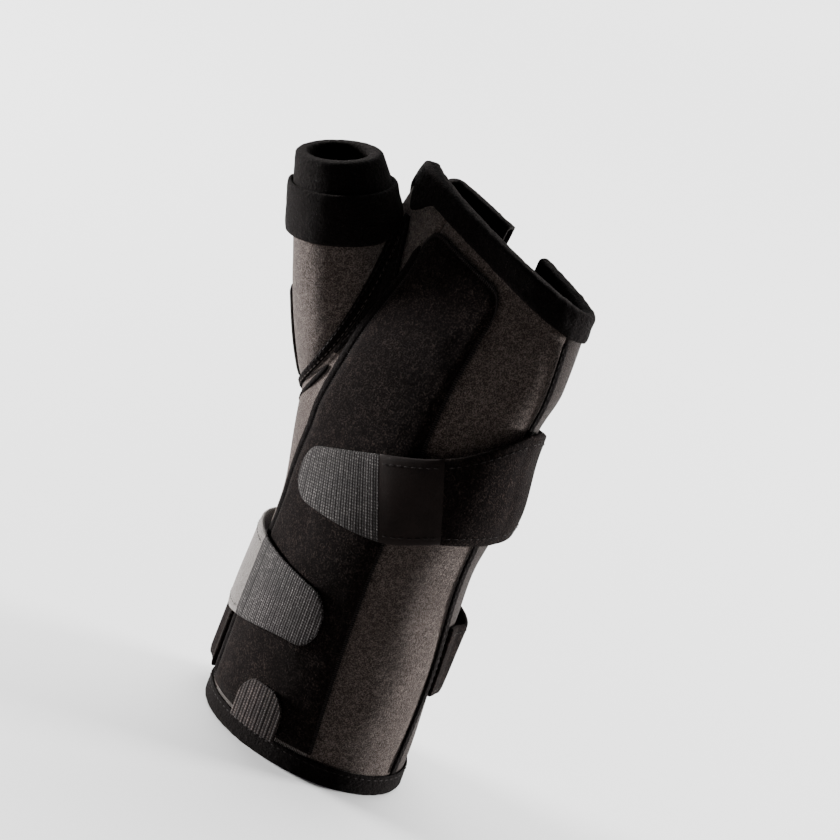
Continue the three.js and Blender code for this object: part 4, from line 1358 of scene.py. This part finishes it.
def pocket_flap():
    """The small woven flap over the pocket's mouth, with a rounded upper end."""
    low, high = 9.6, 28
    vs = np.concatenate([np.linspace(0, 0.9, 46), 1 - 0.1 * np.linspace(0.9, 0, 10) ** 1.8])
    u, v = pairs(np.linspace(0, 1, 90), vs)
    rounded = np.sqrt(np.maximum(1 - 0.8 * np.clip((v - 0.45) / 0.55, 0, 1) ** 2, 0.02))
    theta = -2 + 13.5 * rounded * (2 * u - 1)
    z = lerp(low, high, v)
    base = 3 + CLEAR
    along = (theta + 18.5) * 0.6
    outer = with_ribs(sleeve(theta, z, base + HOOK_TAB), along)
    inner = sleeve(theta, z, base)
    obj = sheet_piece("pocket_flap", outer, inner, 0.3, "woven_hook_tab", "dim_tab", "flap")
    values = read_cloth(obj)
    for k in (0, 1):
        block = values[k * along.size : (k + 1) * along.size]
        block[:, 0], block[:, 1] = along.ravel(), z.ravel()
    write_cloth(obj, values)


pocket_flap()

# Pale overlocking that shows between the forearm binding and the pocket.
overlock(
    "hem_overlock",
    (np.linspace(-42, 30, 200), np.full(200, BOTTOM_TAPE_HEIGHT + 0.7)),
    across=(0, 1), pitch=0.7, width=1.6, material="grey_thread", lift=0.15, radius=0.22,
)

# The stays keep the CAD's shape, inside their pockets.
for node, material in (
    ("palmar_stay", "aluminium"),
    ("dorsal_stay_ulnar", "aluminium"),
    ("dorsal_stay_radial", "aluminium"),
    ("thumb_stay", "plastic"),
):
    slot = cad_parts[node].material_slots[0]
    slot.link = "OBJECT"
    slot.material = M[material]


# ---- Floor, light and camera ----

FLOOR_HALF = 15
corners = [(-1, -1, 0), (1, -1, 0), (1, 1, 0), (-1, 1, 0)]
floor = make_object("floor", FLOOR_HALF * np.array(corners, float), [(0, 1, 2, 3)])
pale = Nodes("floor_pale")
pale.put(pale.shader.inputs["Base Color"], rgb(0.9, 0.9, 0.9))
pale.put(pale.shader.inputs["Roughness"], 0.8)
floor.data.materials.append(pale.material)

world = bpy.data.worlds.new("studio")
scene.world = world
world.use_nodes = True
background = world.node_tree.nodes["Background"]
background.inputs["Color"].default_value = rgb(1, 1, 1)
background.inputs["Strength"].default_value = 0.14

VIEW_TURN, VIEW_RISE, VIEW_ROLL = 30, 18, 20.6
VIEW_DISTANCE, VIEW_FOCAL, VIEW_HEIGHT = 0.85, 98.4, 0.137
turn, rise, roll = (math.radians(x) for x in (VIEW_TURN, VIEW_RISE, VIEW_ROLL))
target = Vector((CENTRED[0] / 1000, CENTRED[1] / 1000, VIEW_HEIGHT))
level_back = Vector((math.sin(turn), -math.cos(turn), 0))
back = level_back * math.cos(rise) + Vector((0, 0, math.sin(rise)))
right = Vector((math.cos(turn), math.sin(turn), 0))
up = back.cross(right)
behind = target - 3.6 * level_back - Vector((0, 0, VIEW_HEIGHT))  # on the floor behind the splint


def area_light(name, across, forward, height, size, power, aim=target):
    """A soft light, placed as the camera sees it: across to the right, forward to the viewer."""
    light = bpy.data.lights.new(name, "AREA")
    light.shape, light.size, light.size_y = "RECTANGLE", size[0], size[1]
    light.energy = power
    obj = bpy.data.objects.new(name, light)
    obj.location = target + right * across + level_back * forward + Vector((0, 0, height))
    obj.rotation_mode = "QUATERNION"
    obj.rotation_quaternion = (aim - obj.location).to_track_quat("-Z", "Y")
    scene.collection.objects.link(obj)


STRIP_AWAY, STRIP_SIZE = 1.93, (0.55, 0.36)
area_light("left_strip", -STRIP_AWAY, -0.5, 0.03, STRIP_SIZE, 390)
area_light("right_strip", STRIP_AWAY, -0.5, 0.03, STRIP_SIZE, 320)
area_light("backdrop", 0, -3.8, 3.0, (8, 5), 850, behind)

camera = bpy.data.objects.new("camera", bpy.data.cameras.new("camera"))
camera.data.lens = VIEW_FOCAL
camera.data.sensor_width = 36
cam_right = right * math.cos(roll) + up * math.sin(roll)
cam_up = up * math.cos(roll) - right * math.sin(roll)
turned = Matrix((cam_right, cam_up, back)).transposed()
camera.matrix_world = Matrix.Translation(target + back * VIEW_DISTANCE) @ turned.to_4x4()
scene.collection.objects.link(camera)
scene.camera = camera
